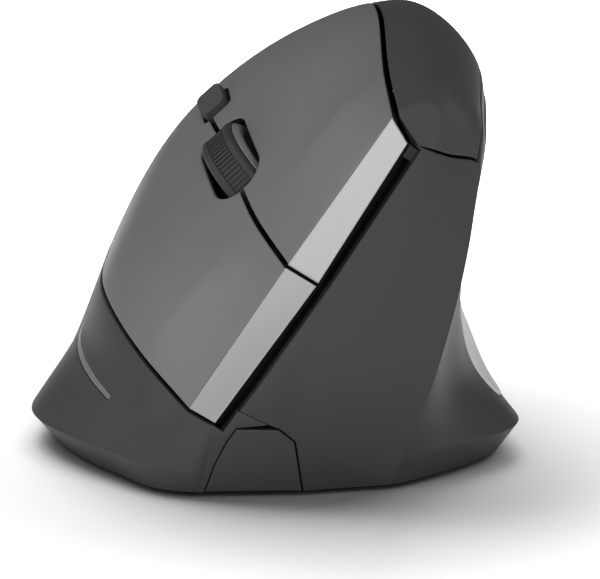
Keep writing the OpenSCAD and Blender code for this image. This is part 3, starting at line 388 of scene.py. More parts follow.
CAD_LOOKS = (
    (base_mat, ("base_plate", "battery_door")),
    (glide_mat, ("glide_feet",)),
    (knob_mat, ("power_knob",)),
    (steel_mat, ("power_switch", "contact_spring", "contact_plate", "receiver_plug", "case_screws", "board_screws")),
    (hub_mat, ("wheel_hub",)),
    (tyre_mat, ("wheel_tyre",)),
    (chassis_mat, ("wheel_carrier", "inner_frame", "index_lever", "middle_lever")),
    (switch_mat, ("wheel_sensors", "index_switch", "middle_switch", "wheel_switch", "dpi_switch", "side_switches",
                  "sensor", "usb_receiver")),
    (small_key_mat, ("dpi_button", "forward_button", "back_button")),
    (board_mat, ("click_board", "side_board", "main_board")),
    (lens_mat, ("sensor_lens",)),
    (cell_mat, ("battery",)),
    (film_mat, ("board_link",)),
    (shell_mat, ("finger_skirt", "thumb_shell", "front_insert")),
    (key_mat, ("palm_shell", "index_button", "middle_button")),
    (cap_mat, ("top_cap",)),
    (strip_mat, ("index_trim", "middle_trim", "skirt_accent")),
    (rest_mat, ("thumb_rest",)),
)
for material, nodes in CAD_LOOKS:
    for node in nodes:
        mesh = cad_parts[node].data
        mesh.materials.clear()
        mesh.materials.append(material)



# ---------------------------------------------------------------- panels of the body
def new_mesh(name, points, faces, scale=MM):
    mesh = bpy.data.meshes.new(name)
    mesh.from_pydata([tuple(p * scale) for p in points], [], [tuple(f) for f in faces])
    return mesh


def keep(mesh, name, body, nodes, slot, sharp=38, smooth=True):
    """Makes a piece of a mesh: shaded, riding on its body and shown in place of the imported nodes."""
    for polygon in mesh.polygons:
        polygon.use_smooth = smooth
    if smooth:
        mesh.set_sharp_from_angle(angle=math.radians(sharp))
    obj = bpy.data.objects.new(name, mesh)
    bpy.context.collection.objects.link(obj)
    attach(obj, body)
    if nodes:
        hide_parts(*nodes)
    return obj


def mesh_piece(name, points, faces, material, body, nodes, slot, inner=None, **shading):
    """A piece from points and faces. The inner material goes on the walls and the hidden side of a closed skin."""
    mesh = new_mesh(name, points, faces)
    mesh.validate()
    mesh.materials.append(material)
    if inner:
        mesh.materials.append(inner)
        half = len(points) // 2
        for polygon in mesh.polygons:
            polygon.material_index = int(max(polygon.vertices) >= half)
    return keep(mesh, name, body, nodes, slot, **shading)


# Shares of an edge's radius where the grid has its lines, and the least width of that band
ROUND_STEPS = np.array([0, 0.02, 0.08, 0.18, 0.33, 0.55, 0.8, 1.0])
LEAST_BAND = 0.3
ACROSS = 13
INSIDE = 0.03


def fall(d, r):
    """How far a rounded edge of radius r lies below the surface at distance d."""
    r = np.asarray(r, float)
    d = np.clip(d, 0, r)
    return r - np.sqrt(np.maximum(r * r - (r - d)**2, 0))


def steps(pitch):
    """Shares from 0 to 1, no further apart than the pitch."""
    return np.linspace(0, 1, max(int(math.ceil(1 / pitch)), 1) + 1)


def panel_grid(f, t0, t1, w0, w1, gaps, radii, pitch, creases=()):
    """Grid over a patch, drawn in by the gaps and rounded by the radii (front, rear, low, high)."""
    mid = speeds(f, np.array((t0 + t1) / 2), np.array((w0 + w1) / 2))
    base_t, base_w = steps(pitch / (float(mid[0]) * (t1 - t0))), steps(pitch / (float(mid[1]) * (w1 - w0)))
    n = len(ROUND_STEPS)

    def lines(base, lo, hi, gap, radius, speed_lo, speed_hi, marks=()):
        rows = []
        near, far = (np.broadcast_to(g, len(speed_lo)) for g in gap)
        for sl, sh, gl, gh in zip(speed_lo, speed_hi, near, far):
            first = lo + (gl + ROUND_STEPS * max(radius[0], LEAST_BAND)) / sl
            last = hi - (gh + ROUND_STEPS[::-1] * max(radius[1], LEAST_BAND)) / sh
            inner = first[-1] + (last[0] - first[-1]) * base[1:-1]
            for c in marks:
                if lo < c < hi:
                    inner[np.abs(inner - c).argmin()] = c
            rows.append(np.concatenate([first, inner, last]))
        return np.array(rows)

    wq = np.linspace(w0, w1, ACROSS)
    tt = lines(base_t, t0, t1, gaps[:2], radii[:2], speeds(f, np.full(ACROSS, t0 + INSIDE), wq)[0],
               speeds(f, np.full(ACROSS, t1 - INSIDE), wq)[0])
    tq = tt.mean(0)
    side_gaps = [g(tq) if callable(g) else g for g in gaps[2:]]
    ww = lines(base_w, w0, w1, side_gaps, radii[2:], speeds(f, tq, np.full(len(tq), w0 + INSIDE))[1],
               speeds(f, tq, np.full(len(tq), w1 - INSIDE))[1], creases)
    t = np.array([np.interp(ww[i], wq, tt[:, i]) for i in range(len(tq))])

    def drops(radius, count):
        out = np.zeros(count)
        for r, part in ((radius[0], slice(0, n)), (radius[1], slice(count - n, count))):
            if r > 0:
                far = ROUND_STEPS * max(r, LEAST_BAND)
                out[part] = fall(far if part.start == 0 else far[::-1], r)
        return out

    drop = np.maximum(drops(radii[:2], t.shape[0])[:, None], drops(radii[2:], t.shape[1])[None, :])
    return t, ww, drop


def slide_to(f, field, t, w, target, straight):
    """Moves numbers on the surface until the field has the target value there."""
    h = 0.004
    tries = 5
    for _ in range(tries):
        d = field(t, w)
        dt, dw = (field(t + h, w) - d) / h, (field(t, w + h) - d) / h
        st, sw = speeds(f, t, w)
        a, b = dt / st**2, np.where(straight, 0, dw / sw**2)
        k = (target - d) / np.maximum(dt * a + dw * b, 1e-6)
        t, w = t + k * a, w + k * b
    return t, w


def spread(mask):
    """The mask, grown by one cell to all sides."""
    out = mask.copy()
    for i in (-1, 0, 1):
        for j in (-1, 0, 1):
            moved = np.zeros_like(mask)
            src = mask[max(-i, 0):mask.shape[0] - max(i, 0), max(-j, 0):mask.shape[1] - max(j, 0)]
            moved[max(i, 0):mask.shape[0] - max(-i, 0), max(j, 0):mask.shape[1] - max(-j, 0)] = src
            out |= moved
    return out


def open_edges(faces):
    """Directed edges that only one face uses."""
    edges = {}
    for face in faces:
        for a, b in zip(face, face[1:] + face[:1]):
            edges[(a, b)] = True
    return [(a, b) for a, b in edges if (b, a) not in edges]


def quads(m):
    """The four corners of every cell of a grid."""
    return np.stack([m[:-1, :-1], m[1:, :-1], m[1:, 1:], m[:-1, 1:]], -1).reshape(-1, 4)


def cut_grid(f, t, w, drop, field, r, rings=6):
    """The grid without the places where the field is below zero, with a rounded rim of radius r."""
    nt, nw = t.shape
    n = len(ROUND_STEPS)
    removed = field(t, w) < r
    near = removed & spread(~removed)
    border = np.zeros_like(near)
    border[:, :n] = border[:, nw - n:] = True
    t, w = t.copy(), w.copy()
    t[near], w[near] = slide_to(f, field, t[near], w[near], r, border[near])
    deep = removed & ~near
    k = np.arange(nt * nw).reshape(nt, nw)
    corner_deep, corner_removed = quads(deep).any(1), quads(removed).all(1)
    faces = quads(k)[~corner_deep & ~corner_removed].tolist()
    flat_near, flat_border = near.ravel(), border.ravel()
    rim = [(a, b) for a, b in open_edges(faces) if flat_near[a] and flat_near[b]]
    ids = np.array(sorted({v for e in rim for v in e}), int)
    t, w, drop = t.ravel(), w.ravel(), drop.ravel()
    if len(ids):
        place = {v: i for i, v in enumerate(ids)}
        last_t, last_w, last_ids = t[ids], w[ids], ids
        extra_t, extra_w, extra_drop, total = [], [], [], nt * nw
        for step in np.linspace(0, 1, rings + 1)[1:]:
            target = r * (1 - math.sin(step * math.pi / 2))
            last_t, last_w = slide_to(f, field, last_t, last_w, target, flat_border[ids])
            new_ids = total + np.arange(len(ids))
            total += len(ids)
            extra_t.append(last_t)
            extra_w.append(last_w)
            extra_drop.append(np.maximum(drop[ids], fall(target, r)))
            for a, b in rim:
                i, j = place[a], place[b]
                faces.append([int(last_ids[j]), int(last_ids[i]), int(new_ids[i]), int(new_ids[j])])
            last_ids = new_ids
        t, w, drop = (np.concatenate([x] + e) for x, e in ((t, extra_t), (w, extra_w), (drop, extra_drop)))
    return t, w, drop, faces


def closed_skin(top, under, faces):
    """Closes an open sheet of faces with a sheet under it and walls round its edges."""
    used = np.unique(np.concatenate([np.array(q) for q in faces]))
    place = -np.ones(len(top), int)
    place[used] = np.arange(len(used))
    faces = [[int(place[v]) for v in q] for q in faces]
    m = len(used)
    below = [[v + m for v in reversed(q)] for q in faces]
    walls = [[b, a, a + m, b + m] for a, b in open_edges(faces)]
    return np.concatenate([top[used], under[used]]), faces + below + walls


def whole_grid(t, w, drop):
    faces = quads(np.arange(t.size).reshape(t.shape)).tolist()
    return t.ravel(), w.ravel(), drop.ravel(), faces


LEAST_FACING = 0.35


def panel(f, t0, t1, w0, w1, gaps=(0, 0, 0, 0), radii=(0.4, 0.4, 0.4, 0.4), depth=2.0, over=0.0, pitch=1.0,
          straight=False, creases=(), field=None, rim=0.4):
    """Points and faces of one closed panel. The front edge of a straight one runs back along the mouse's length."""
    t, w, drop = panel_grid(f, t0, t1, w0, w1, gaps, radii, pitch, creases)
    nw = t.shape[1]
    t, w, drop, faces = cut_grid(f, t, w, drop, field, rim) if field else whole_grid(t, w, drop)
    nrm = normals(f, t, w)
    place = f(t, w)
    top = place + nrm * (over - drop)[:, None]
    down = nrm.copy()
    if straight:
        down[:nw] = np.array([0, -1, 0]) / np.maximum(-nrm[:nw, 1:2], LEAST_FACING)
    return closed_skin(top, place - down * depth, faces)


def join(*parts):
    """Several closed skins as one set of points and faces."""
    points, faces, start = [], [], 0
    for p, q in parts:
        points.append(np.asarray(p))
        faces += [[v + start for v in face] for face in q]
        start += len(p)
    return np.concatenate(points), faces


# ---------------------------------------------------------------- fields that cut the panels
def rounded_box(x, y, a, b, r):
    """Distance from the outline of a box with rounded corners, positive outside."""
    qx, qy = np.abs(x) - a + r, np.abs(y) - b + r
    return np.hypot(np.maximum(qx, 0), np.maximum(qy, 0)) + np.minimum(np.maximum(qx, qy), 0) - r


def patch_field(f, t0, t1, w0, w1, r, grow=0.0, sign=1, lean=0.0):
    """Distance from a patch with rounded corners; it leans by that many rails for each station."""
    def field(t, w):
        st, sw = speeds(f, t, w)
        w = w - lean * (t - (t0 + t1) / 2)
        d = rounded_box((t - (t0 + t1) / 2) * st, (w - (w0 + w1) / 2) * sw,
                        (t1 - t0) / 2 * st + grow, (w1 - w0) / 2 * sw + grow, r)
        return sign * d
    return field


# In the finger side's frame: the slot of the wheel, and the pointer speed key behind it
SLOT_W, SLOT_L, SLOT_R = 9.4, 20.2, 4.2
SPEED_AT, SPEED_W, SPEED_L, SPEED_R = (0.6, 19.2), 5.0, 6.6, 0.9
SPEED_GAP = 0.45


def slots(t, w):
    """Distance from the openings in the key plates."""
    p = to_finger(surface(t, w))
    wheel = rounded_box(p[..., 0], p[..., 1], SLOT_W / 2, SLOT_L / 2, SLOT_R)
    speed = rounded_box(p[..., 0] - SPEED_AT[0], p[..., 1] - SPEED_AT[1],
                        SPEED_W / 2 + SPEED_GAP, SPEED_L / 2 + SPEED_GAP, SPEED_R)
    return np.minimum(wheel, speed)


# ---------------------------------------------------------------- the front facets
# Each plane: Y at the point, rise per mm of X, rise per mm of Z, and the point's X and Z
PLANES = [(-53.0, 0.1435, 0.0172, 3.5, 31.0), (-50.8, 0.0623, -0.0741, 0.0, 0.8), (-50.9, -0.1305, -0.1478, 0.0, 0.8)]


def plane_y(i, x, z):
    a, b, c, x0, z0 = PLANES[i]
    return a - MIDDLE[1] + b * (x + MIDDLE[0] - x0) + c * (z - z0)


def front_y(x, z):
    """The front wall, where the hindmost of the planes counts."""
    return np.max([plane_y(i, x, z) for i in range(3)], axis=0)


def meeting_front(f, reach=0.35):
    """The surface f with its front edge drawn onto the front facets."""
    def g(t, w):
        p = f(t, w)
        t, w = np.broadcast_arrays(np.asarray(t, float), np.asarray(w, float))
        edge = f(np.zeros_like(t), w)
        off = front_y(edge[..., 0], edge[..., 2]) - edge[..., 1]
        p = p.copy()
        p[..., 1] += off * np.clip(1 - t / reach, 0, 1)**2
        return p
    return g


def skirt_line(t, w):
    """The surface of the finger side, carried on round the stern from station 6 to 7."""
    t, w = np.broadcast_arrays(np.asarray(t, float), np.asarray(w, float))
    return np.where((t <= LAST)[..., None], surface(np.minimum(t, LAST), w), stern_surface(np.maximum(t - LAST, 0), w))


thumb_line = meeting_front(surface)
finger_line = meeting_front(skirt_line)


def clip(polygon, inside):
    """The part of a polygon where the number inside(x, z) is below zero."""
    out = []
    for p, q in zip(polygon, polygon[1:] + polygon[:1]):
        a, b = inside(*p), inside(*q)
        if a <= 0:
            out.append(p)
        if a * b < 0:
            k = a / (a - b)
            out.append((p[0] + (q[0] - p[0]) * k, p[1] + (q[1] - p[1]) * k))
    return out


# Distances in mm below which two corners are one, a corner lies on a facet, and a point lies on a shared edge
SAME, ON_FACET, ON_EDGE = 0.001, 0.01, 0.45


def front_plate(polygon, depth=2.0, edge=0.22, soft=(), back=0.0):
    """A piece of the front wall over an outline in X and Z, one flat face for each facet."""
    mesh = bmesh.new()
    for i in range(3):
        part = polygon
        for j in range(3):
            if j != i:
                part = clip(part, lambda x, z: plane_y(j, x, z) - plane_y(i, x, z))
        if len(part) < 3:
            continue
        tops = [mesh.verts.new((x, plane_y(i, x, z), z)) for x, z in part]
        unders = [mesh.verts.new((x, plane_y(i, x, z) + depth, z)) for x, z in part]
        mesh.faces.new(tops)
        mesh.faces.new(unders[::-1])
    bmesh.ops.remove_doubles(mesh, verts=mesh.verts, dist=SAME)
    rim = [e for e in mesh.edges if len(e.link_faces) == 1]
    tops = [e for e in rim if all(abs(v.co.y - front_y(v.co.x, v.co.z)) < ON_FACET for v in e.verts)]
    column = lambda v: (round(v.co.x, 2), round(v.co.z, 2))
    below = {column(v): v for v in mesh.verts if v.co.y > front_y(v.co.x, v.co.z) + depth / 2}
    for e in tops:
        a, b = e.verts
        loop = e.link_loops[0]
        if loop.vert is a:
            a, b = b, a
        mesh.faces.new((a, b, below[column(b)], below[column(a)]))
    chosen = [e for e in tops if not any(test((e.verts[0].co + e.verts[1].co) / 2) for test in soft)]
    if edge and chosen:
        bmesh.ops.bevel(mesh, geom=chosen, offset=edge, segments=3, profile=0.5, affect="EDGES", clamp_overlap=True)
    bmesh.ops.recalc_face_normals(mesh, faces=mesh.faces)
    mesh.verts.index_update()
    points = np.array([tuple(v.co) for v in mesh.verts]) + (0, back, 0)
    faces = [[v.index for v in face.verts] for face in mesh.faces]
    mesh.free()
    return points, faces


def spot(x, z):
    """A corner given in the source's numbers, in the frame's X and Z."""
    return (x - MIDDLE[0], z)


def front_line(w0, w1, n, dz=0.0):
    """The body's front edge from rail w0 to rail w1."""
    p = surface(np.zeros(n + 1), np.linspace(w0, w1, n + 1))
    return [(float(q[0]), float(q[2]) + dz) for q in p]


# Seams in the front wall: between the shells, under the cap, and the dark gap at its low and high end. The parting
# line of the shells reaches the gap at that share of its length.
SHELL_GAP, CAP_GAP, GAP_LOW, GAP_HIGH, GAP_PART = 0.24, 1.2, 2.0, 2.6, 0.08
low_end, high_end = rail_points[SEAM][0][[0, 2]], rail_points[CAP_LOW][0][[0, 2]]
slope = unit(high_end - low_end)
beside = np.array([slope[1], -slope[0]])
gap_low, gap_high = tuple(low_end + beside * GAP_LOW), tuple(high_end + beside * GAP_HIGH)
on_gap = tuple(np.array(gap_low) * (1 - GAP_PART) + np.array(gap_high) * GAP_PART)
insert_right = [spot(0.3, LOW), spot(-1.0, 8.8), spot(-3.6, 11.1)]
insert_left = [spot(-10.2, 11.3), spot(-11.6, 9.2), spot(-13.4, 5.4), spot(-14.9, LOW)]
parting = spot(-5.2, 11.7)
thumb_edge = front_line(CAP_HIGH, LAST_RAIL, 60)
cap_edge = front_line(CAP_LOW, CAP_HIGH, 12, -SHELL_GAP)
finger_edge = front_line(0, SEAM, 24)
nose_outline = (thumb_edge[1:] + insert_right + [parting, on_gap, gap_high] + cap_edge[1:-1]
                + [(thumb_edge[0][0], thumb_edge[0][1] - SHELL_GAP)])
corner_outline = (finger_edge + [gap_low, (on_gap[0] - SHELL_GAP, on_gap[1]),
                                 (parting[0] - SHELL_GAP, parting[1])] + insert_left)


def moved(p, dx, dz):
    """A corner moved by shares of the shells' seam."""
    return (p[0] + SHELL_GAP * dx, p[1] + SHELL_GAP * dz)


insert_outline = [moved(p, dx, dz) for p, dx, dz in (
    (insert_right[0], -1, 0), (insert_right[1], -1, -0.5), (insert_right[2], -0.5, -1), (insert_left[0], 0.5, -1),
    (insert_left[1], 1, -0.5), (insert_left[2], 1, 0), (insert_left[3], 1, 0))]


def shared_edge(line, below):
    """Tells whether a point lies on an edge that a plate shares with its side, lower than a height."""
    return lambda p: min(math.hypot(p.x - q[0], p.z - q[1]) for q in line) < ON_EDGE and p.z < below


at_side = shared_edge(thumb_edge, thumb_edge[0][1] - 0.6)
at_corner = shared_edge(finger_edge, gap_low[1] - 0.3)


# ---------------------------------------------------------------- the moulded pieces
GAP = 0.12
FACET_AT = np.array((18.77, -46.42, 59.6))
FACET_NORMAL = unit((-0.18, -0.855, 0.485))


def cap_line(t, w):
    """The cap, with the flat facet that carries the strips' chamfer on over its front corner."""
    p = surface(t, w)
    out = np.maximum((p - FACET_AT) @ FACET_NORMAL, 0)
    return p - out[..., None] * FACET_NORMAL


def cap_seam(t):
    """The cap's seam opens toward the front corner."""
    return np.interp(t, (0, 0.5, 1.5, REAR), (CAP_GAP + 0.5, 1.2, 0.75, 0.35))


mesh_piece("palm_skin", *panel(surface, REAR, LAST, SEAM, CAP_HIGH, (GAP, GAP, GAP, GAP), (0.3, 0.3, 0.3, 0.3),
                               pitch=1.2),
           key_mat, "body", ["palm_shell"], "palm", inner=chassis_mat)
mesh_piece("cap_skin", *panel(cap_line, 0, REAR, CAP_LOW, CAP_HIGH, (0.35, GAP, cap_seam, GAP), (0.25, 0.2, 0.25, 0.2),
                              depth=1.0, pitch=0.5, straight=True),
           cap_mat, "body", ["top_cap"], "shell", sharp=30, inner=chassis_mat)
# A dark wall under the cap, deep enough for the pressed index plate to pass over its edge
mesh_piece("cap_lining", *panel(cap_line, 0.1, REAR, 5.13, 6.8, depth=0.4, over=-3.3, pitch=1.2),
           chassis_mat, "body", [], "chassis")
PLATE_DEPTH, STRIP_DEPTH, AT_STRIP, AT_PALM = 1.3, 1.1, 0.03, 0.5
for name, node, body, low, high, sides in (
        ("index_plate", "index_button", "index_key", SPLIT, CAP_LOW, (0.42, 0.25)),
        ("middle_plate", "middle_button", "middle_key", SEAM, SPLIT, (0.5, 0.42))):
    mesh_piece(name, *panel(surface, STRIP_END, REAR, low, high, (AT_STRIP, AT_PALM, *sides), (0.3, 0.3, 0.2, 0.2),
                            PLATE_DEPTH, pitch=0.6, field=slots, rim=0.35),
               key_mat, body, [node], "key", inner=chassis_mat)
for name, node, body, low, high, sides in (
        ("index_strip", "index_trim", "index_key", SPLIT, CAP_LOW, (0.25, 0.25)),
        ("middle_strip", "middle_trim", "middle_key", SEAM, SPLIT, (0.5, 0.25))):
    mesh_piece(name, *panel(surface, 0, STRIP_END, low, high, (0, AT_STRIP, *sides), (0.15, 0.1, 0.2, 0.2),
                            STRIP_DEPTH, straight=True),
               strip_mat, body, [node], "silver", inner=chassis_mat)

# Thumb side with the windows of its keys and the bed of the rest
KEYS_T, KEYS_W, KEYS_SPLIT = (1.7, 3.8), (7.27, 7.85), 2.72
REST_T, REST_W, REST_R = (2.3, 5.2), (9.35, 10.7), 3.0
keys_window = patch_field(surface, *KEYS_T, *KEYS_W, 1.2)
rest_window = patch_field(surface, *REST_T, *REST_W, REST_R)


def thumb_cut(t, w):
    return np.minimum(keys_window(t, w), rest_window(t, w))


def inner_patch(f, t0, t1, w0, w1, r, gap, pitch, edge, depth, over, lean=0.0, margin_t=0.25, margin_w=0.12):
    """A plate that fills a window of the surface, smaller by a gap all round."""
    middle = (t0 + t1) / 2
    shifted = (lambda t, w: f(t, w + lean * (t - middle))) if lean else f
    field = patch_field(shifted, t0, t1, w0, w1, r, -gap, -1)
    return panel(shifted, t0 - margin_t, t1 + margin_t, w0 - margin_w, w1 + margin_w, (0, 0, 0, 0), (0, 0, 0, 0),
                 depth, over, pitch, field=field, rim=edge)


mesh_piece("thumb_side", *join(
    panel(thumb_line, 0, LAST, CAP_HIGH, LAST_RAIL, (0, GAP, GAP, 0), (0, 0.3, 0.3, 0), depth=2.0, pitch=0.9,
          creases=(RIM_RIGHT,), field=thumb_cut, rim=0.3),
    front_plate(nose_outline, soft=(at_side,))), shell_mat, "body", ["thumb_shell"], "shell")
mesh_piece("rest_pad", *inner_patch(surface, *REST_T, *REST_W, REST_R, gap=0.15, pitch=0.8, edge=0.5,
                                    depth=1.2, over=0.3),
           rest_mat, "body", ["thumb_rest"], "rest")
for name, node, body, ends in (("forward_plate", "forward_button", "forward_key", (KEYS_T[0], KEYS_SPLIT)),
                               ("back_plate", "back_button", "back_key", (KEYS_SPLIT, KEYS_T[1]))):
    mesh_piece(name, *inner_patch(surface, *ends, *KEYS_W, 1.1, gap=0.3, pitch=0.5, edge=0.4, depth=1.8, over=0.3),
               small_key_mat, body, [node], "small_key")

# Finger side with its inlay, the foot of the nose and the floor of the dark gap
ACCENT_T, ACCENT_W, ACCENT_HALF = (2.13, 4.4), (1.75, 2.08), 0.05
accent_lean = (ACCENT_W[1] - ACCENT_W[0]) / (ACCENT_T[1] - ACCENT_T[0])
accent_mid = sum(ACCENT_W) / 2
accent_box = (*ACCENT_T, accent_mid - ACCENT_HALF, accent_mid + ACCENT_HALF)
accent_cut = patch_field(finger_line, *accent_box, 0.45, lean=accent_lean)
mesh_piece("finger_side", *join(
    panel(finger_line, 0, LAST + 1, 0, SEAM, (0, GAP, 0, GAP), (0, 0.3, 0, 0.3), depth=1.0, pitch=0.7,
          creases=(RIM_LEFT,), field=accent_cut, rim=0.15),
    front_plate(corner_outline, soft=(at_corner,))), shell_mat, "body", ["finger_skirt"], "shell")
mesh_piece("accent_inlay", *inner_patch(finger_line, *accent_box, 0.35, gap=0.12, pitch=0.35, edge=0.12,
                                        depth=0.8, over=0.0, lean=accent_lean, margin_w=0.06),
           accent_mat, "body", ["skirt_accent"], "silver")
mesh_piece("insert_plate", *front_plate(insert_outline), shell_mat, "body", ["front_insert"], "shell", smooth=False)


def off_strip(p, d):
    """A corner moved square to the strips by d, toward the nose."""
    return tuple(np.array(p) + beside * d)


def by_strip(share, d):
    """A corner at a share of the strips' length and d beside them."""
    return off_strip(low_end + (high_end - low_end) * share, d)


# The dark gap has two floors: a deep one that runs under the pressed strips, and a shelf under the nose
nose_side = [off_strip(gap_high, 1.0), off_strip(gap_low, 1.0)]
deep_floor = [off_strip(low_end, -0.2), off_strip(high_end, -0.2)] + nose_side
shelf = [gap_low, gap_high] + nose_side
mesh_piece("gap_floor", *join(front_plate(deep_floor[::-1], depth=0.8, edge=0, back=4.6),
                              front_plate(shelf[::-1], depth=2.7, edge=0, back=2.0)),
           chassis_mat, "body", [], "chassis", smooth=False)
# A rib of the frame across the top of the dark gap
RIB_FROM, RIB_TO, RIB_IN, RIB_OUT = 0.955, 0.995, -0.3, GAP_HIGH + 0.5
rib = [by_strip(RIB_FROM, RIB_IN), by_strip(RIB_TO, RIB_IN), by_strip(RIB_TO, RIB_OUT), by_strip(RIB_FROM, RIB_OUT)]
mesh_piece("gap_rib", *front_plate(rib[::-1], depth=2.4, edge=0.1, back=1.2),
           rib_mat, "body", [], "chassis", smooth=False)

# ---------------------------------------------------------------- wheel
TYRE_R, TYRE_W, TREAD_W, TREAD_RIBS = 11.5, 6.2, 3.1, 88
PROUD, HUB_BORE = 3.3, 8.3
AXLE = FINGER_AT + FINGER[:, 2] * (PROUD - TYRE_R)
WHEEL_PLACE = Matrix([[*(FINGER[i] * MM), AXLE[i] * MM] for i in range(3)] + [[0, 0, 0, 1]])


def turned(profile, n):
    """A closed ring turned about the wheel's axle from a profile of (x, radius)."""
    a = np.linspace(0, 2 * math.pi, n, endpoint=False)
    prof = np.array(profile, float)
    points = np.stack([np.broadcast_to(prof[:, 0], (n, len(prof))), np.outer(np.cos(a), prof[:, 1]),
                       np.outer(np.sin(a), prof[:, 1])], -1).reshape(-1, 3)
    m = len(prof)
    faces = [[i * m + j, ((i + 1) % n) * m + j, ((i + 1) % n) * m + (j + 1) % m, i * m + (j + 1) % m]
             for i in range(n) for j in range(m)]
    return points, faces


def arc(cx, cy, r, a0, a1, n):
    """Points of an arc from the angle a0 to a1, in degrees."""
    a = np.radians(np.linspace(a0, a1, n))
    return [(cx + r * math.cos(x), cy + r * math.sin(x)) for x in a]


def ribbed_tree():
    """Geometry Nodes: one bar set round the axle as often as asked, with the plain tyre under it."""
    tree = bpy.data.node_groups.new("ribs round a wheel", "GeometryNodeTree")
    face = tree.interface
    for label, kind in (("Tyre", "NodeSocketGeometry"), ("Ribs", "NodeSocketInt"), ("Radius", "NodeSocketFloat"),
                        ("Bar", "NodeSocketVector"), ("Rubber", "NodeSocketMaterial")):
        face.new_socket(label, in_out="INPUT", socket_type=kind)
    face.new_socket("Geometry", in_out="OUTPUT", socket_type="NodeSocketGeometry")
    node = lambda kind: tree.nodes.new(kind)
    link = tree.links.new
    given, out = node("NodeGroupInput"), node("NodeGroupOutput")
    circle, bar = node("GeometryNodeMeshCircle"), node("GeometryNodeMeshCube")
    place, axis = node("GeometryNodeInputPosition"), node("FunctionNodeAlignRotationToVector")
    stand, turn = node("GeometryNodeInstanceOnPoints"), node("GeometryNodeTransform")
    both, real = node("GeometryNodeJoinGeometry"), node("GeometryNodeRealizeInstances")
    paint = node("GeometryNodeSetMaterial")
    link(given.outputs["Ribs"], circle.inputs["Vertices"])
    link(given.outputs["Radius"], circle.inputs["Radius"])
    link(given.outputs["Bar"], bar.inputs["Size"])
    axis.axis = "X"
    link(place.outputs[0], axis.inputs["Vector"])
    link(circle.outputs["Mesh"], stand.inputs["Points"])
    link(bar.outputs["Mesh"], stand.inputs["Instance"])
    link(axis.outputs["Rotation"], stand.inputs["Rotation"])
    turn.inputs["Rotation"].default_value = (0, math.pi / 2, 0)
    link(stand.outputs["Instances"], turn.inputs["Geometry"])
    link(turn.outputs["Geometry"], both.inputs["Geometry"])
    link(given.outputs["Tyre"], both.inputs["Geometry"])
    link(both.outputs["Geometry"], real.inputs["Geometry"])
    link(real.outputs["Geometry"], paint.inputs["Geometry"])
    link(given.outputs["Rubber"], paint.inputs["Material"])
    link(paint.outputs["Geometry"], out.inputs["Geometry"])
    return tree


def baked(tree, name, source, settings):
    """Runs a tree once on a mesh with its named inputs set, and keeps the plain mesh that it makes."""
    holder = bpy.data.objects.new(name + " holder", source)
    bpy.context.collection.objects.link(holder)
    modifier = holder.modifiers.new("nodes", "NODES")
    modifier.node_group = tree
    for item in tree.interface.items_tree:
        if item.name in settings:
            modifier[item.identifier] = settings[item.name]
    bpy.context.view_layer.update()
    result = bpy.data.meshes.new_from_object(holder.evaluated_get(bpy.context.evaluated_depsgraph_get()))
    bpy.data.objects.remove(holder)
    result.name = name
    return result


# Profiles in mm: the distance from the wheel's middle and the radius
half, tread, round_r = TYRE_W / 2, TREAD_W / 2, 0.95
shoulder = ([(tread, TYRE_R - 0.35), (tread + 0.12, TYRE_R - 0.1)]
            + arc(half - round_r, TYRE_R - 0.98, round_r, 82, 12, 7) + [(half, TYRE_R - 1.3)])
tyre_profile = shoulder + [(half, HUB_BORE), (-half, HUB_BORE)] + [(-x, r) for x, r in shoulder[::-1]]
tyre_start = new_mesh("tyre start", *turned(tyre_profile[::-1], 2 * TREAD_RIBS), scale=1)
tyre_mesh = baked(ribbed_tree(), "ribbed_tyre", tyre_start, {
    "Ribs": TREAD_RIBS, "Radius": TYRE_R - 0.45, "Bar": (0.62, 0.4, TREAD_W), "Rubber": tyre_mat})
tyre_mesh.transform(WHEEL_PLACE)
keep(tyre_mesh, "ribbed_tyre", "wheel", ["wheel_tyre"], "tyre", 30)

AXLE_END = 6.2
end = [(AXLE_END, 1.05), (AXLE_END - 0.2, 1.25), (4.0, 1.25), (4.0, 2.3), (3.8, 2.6), (2.6, 2.7), (2.45, 3.2)]
bright_ring = [(2.7, 7.6), (3.5, 8.3), (3.75, 8.6), (3.85, 9.1), (3.8, 9.7), (3.65, 10.1), (3.45, 10.38),
               (3.4, 10.6), (3.28, 10.72), (3.15, 10.68), (3.12, 8.26)]
plain_ring = [(2.7, 7.6), (3.0, 8.1), (3.05, 8.26)]
hub_profile = ([(-AXLE_END, 0.3), (AXLE_END, 0.3)] + end + bright_ring
               + [(-x, r) for x, r in (end + plain_ring)[::-1]])
hub_mesh = new_mesh("bright_hub", *turned(hub_profile, 128), scale=1)
hub_mesh.materials.append(hub_mat)
hub_mesh.transform(WHEEL_PLACE)
keep(hub_mesh, "bright_hub", "wheel", ["wheel_hub"], "hub", 30)

# ---------------------------------------------------------------- floor, world and lamps
# The floor glows a little more with every step away from the object, for the camera only, and is white where it ends.
FADE_FROM, FADE_TO, PALE = 0.06, 0.18, 0.95
bpy.ops.mesh.primitive_plane_add(size=6)
floor = bpy.context.object
floor.name = "floor"
floor_look = Material("pale floor")
away = floor_look.node("ShaderNodeVectorMath", {"operation": "LENGTH"}, {0: floor_look.place}, "Value")
fade = floor_look.node("ShaderNodeMapRange", {"interpolation_type": "SMOOTHSTEP"}, {
    "Value": away, "From Min": FADE_FROM, "From Max": FADE_TO, "To Min": 0.0, "To Max": 1.0}, "Result")
to_camera = floor_look.node("ShaderNodeLightPath", out="Is Camera Ray")
floor_look.set(Base_Color=(PALE, PALE, PALE, 1), Roughness=0.9, Specular_IOR_Level=0.1, Emission_Color=(1, 1, 1, 1),
               Emission_Strength=to_camera * fade)
floor.data.materials.append(floor_look.material)
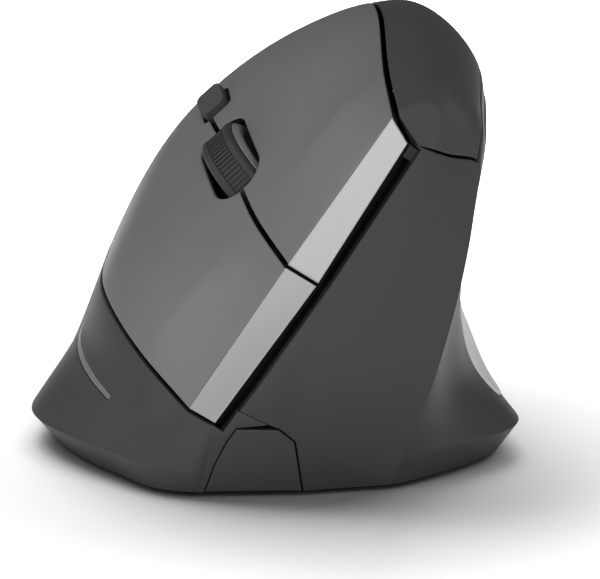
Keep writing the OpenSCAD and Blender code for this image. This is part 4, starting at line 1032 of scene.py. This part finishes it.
floor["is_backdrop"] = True

# A white world that lights the object by the ambient level only
AMBIENT = 0.15
world = bpy.data.worlds.new("studio")
scene.world = world
world.use_nodes = True
world_nodes, world_links = world.node_tree.nodes, world.node_tree.links
sky = world_nodes["Background"]
sky.inputs["Color"].default_value = (1, 1, 1, 1)
rays, seen, level = (world_nodes.new(kind) for kind in ("ShaderNodeLightPath", "ShaderNodeMath", "ShaderNodeMapRange"))
seen.operation = "MAXIMUM"
level.inputs["To Min"].default_value, level.inputs["To Max"].default_value = AMBIENT, 1.0
world_links.new(rays.outputs["Is Camera Ray"], seen.inputs[0])
world_links.new(rays.outputs["Is Transmission Ray"], seen.inputs[1])
world_links.new(seen.outputs[0], level.inputs["Value"])
world_links.new(level.outputs["Result"], sky.inputs["Strength"])

AIM = Vector((0, 0, 0.03))


def lit(name, state):
    """A group that tells a lamp whether it lights the floor alone or all but the floor."""
    group = bpy.data.collections.new(name)
    group.objects.link(floor)
    for entry in group.collection_objects:
        entry.light_linking.link_state = state
    return group


floor_alone, all_but_floor = lit("floor alone", "INCLUDE"), lit("all but the floor", "EXCLUDE")


def lamp(name, azimuth, elevation, watts, group, size=0.6, away=1.0):
    """A soft square lamp; azimuth 0 stands at the camera's side, and it grows to the right."""
    a, e = math.radians(azimuth - 100), math.radians(elevation)
    out = Vector((math.cos(a) * math.cos(e), math.sin(a) * math.cos(e), math.sin(e)))
    data = bpy.data.lights.new(name, "AREA")
    data.size, data.energy = size, watts
    obj = bpy.data.objects.new(name, data)
    obj.location = AIM + out * away
    obj.rotation_euler = (-out).to_track_quat("-Z", "Y").to_euler()
    obj.light_linking.receiver_collection = group
    bpy.context.collection.objects.link(obj)


for name, azimuth, elevation, watts, group in (
        ("floor lamp behind", 180, 40, 7.6, floor_alone), ("floor lamp behind right", 135, 40, 2.6, floor_alone),
        ("floor lamp above left", 225, 60, 6.2, floor_alone), ("lamp front", 0, 15, 3.3, all_but_floor),
        ("lamp front left", 315, 40, 2.0, all_but_floor), ("lamp left", 270, 40, 2.2, all_but_floor),
        ("lamp right", 90, 40, 1.3, all_but_floor)):
    lamp(name, azimuth, elevation, watts, group)

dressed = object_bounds()
as_lists = lambda b: [[float(x) for x in corner] for corner in b]
{"cad": as_lists(cad_box), "dressed": as_lists(dressed)}
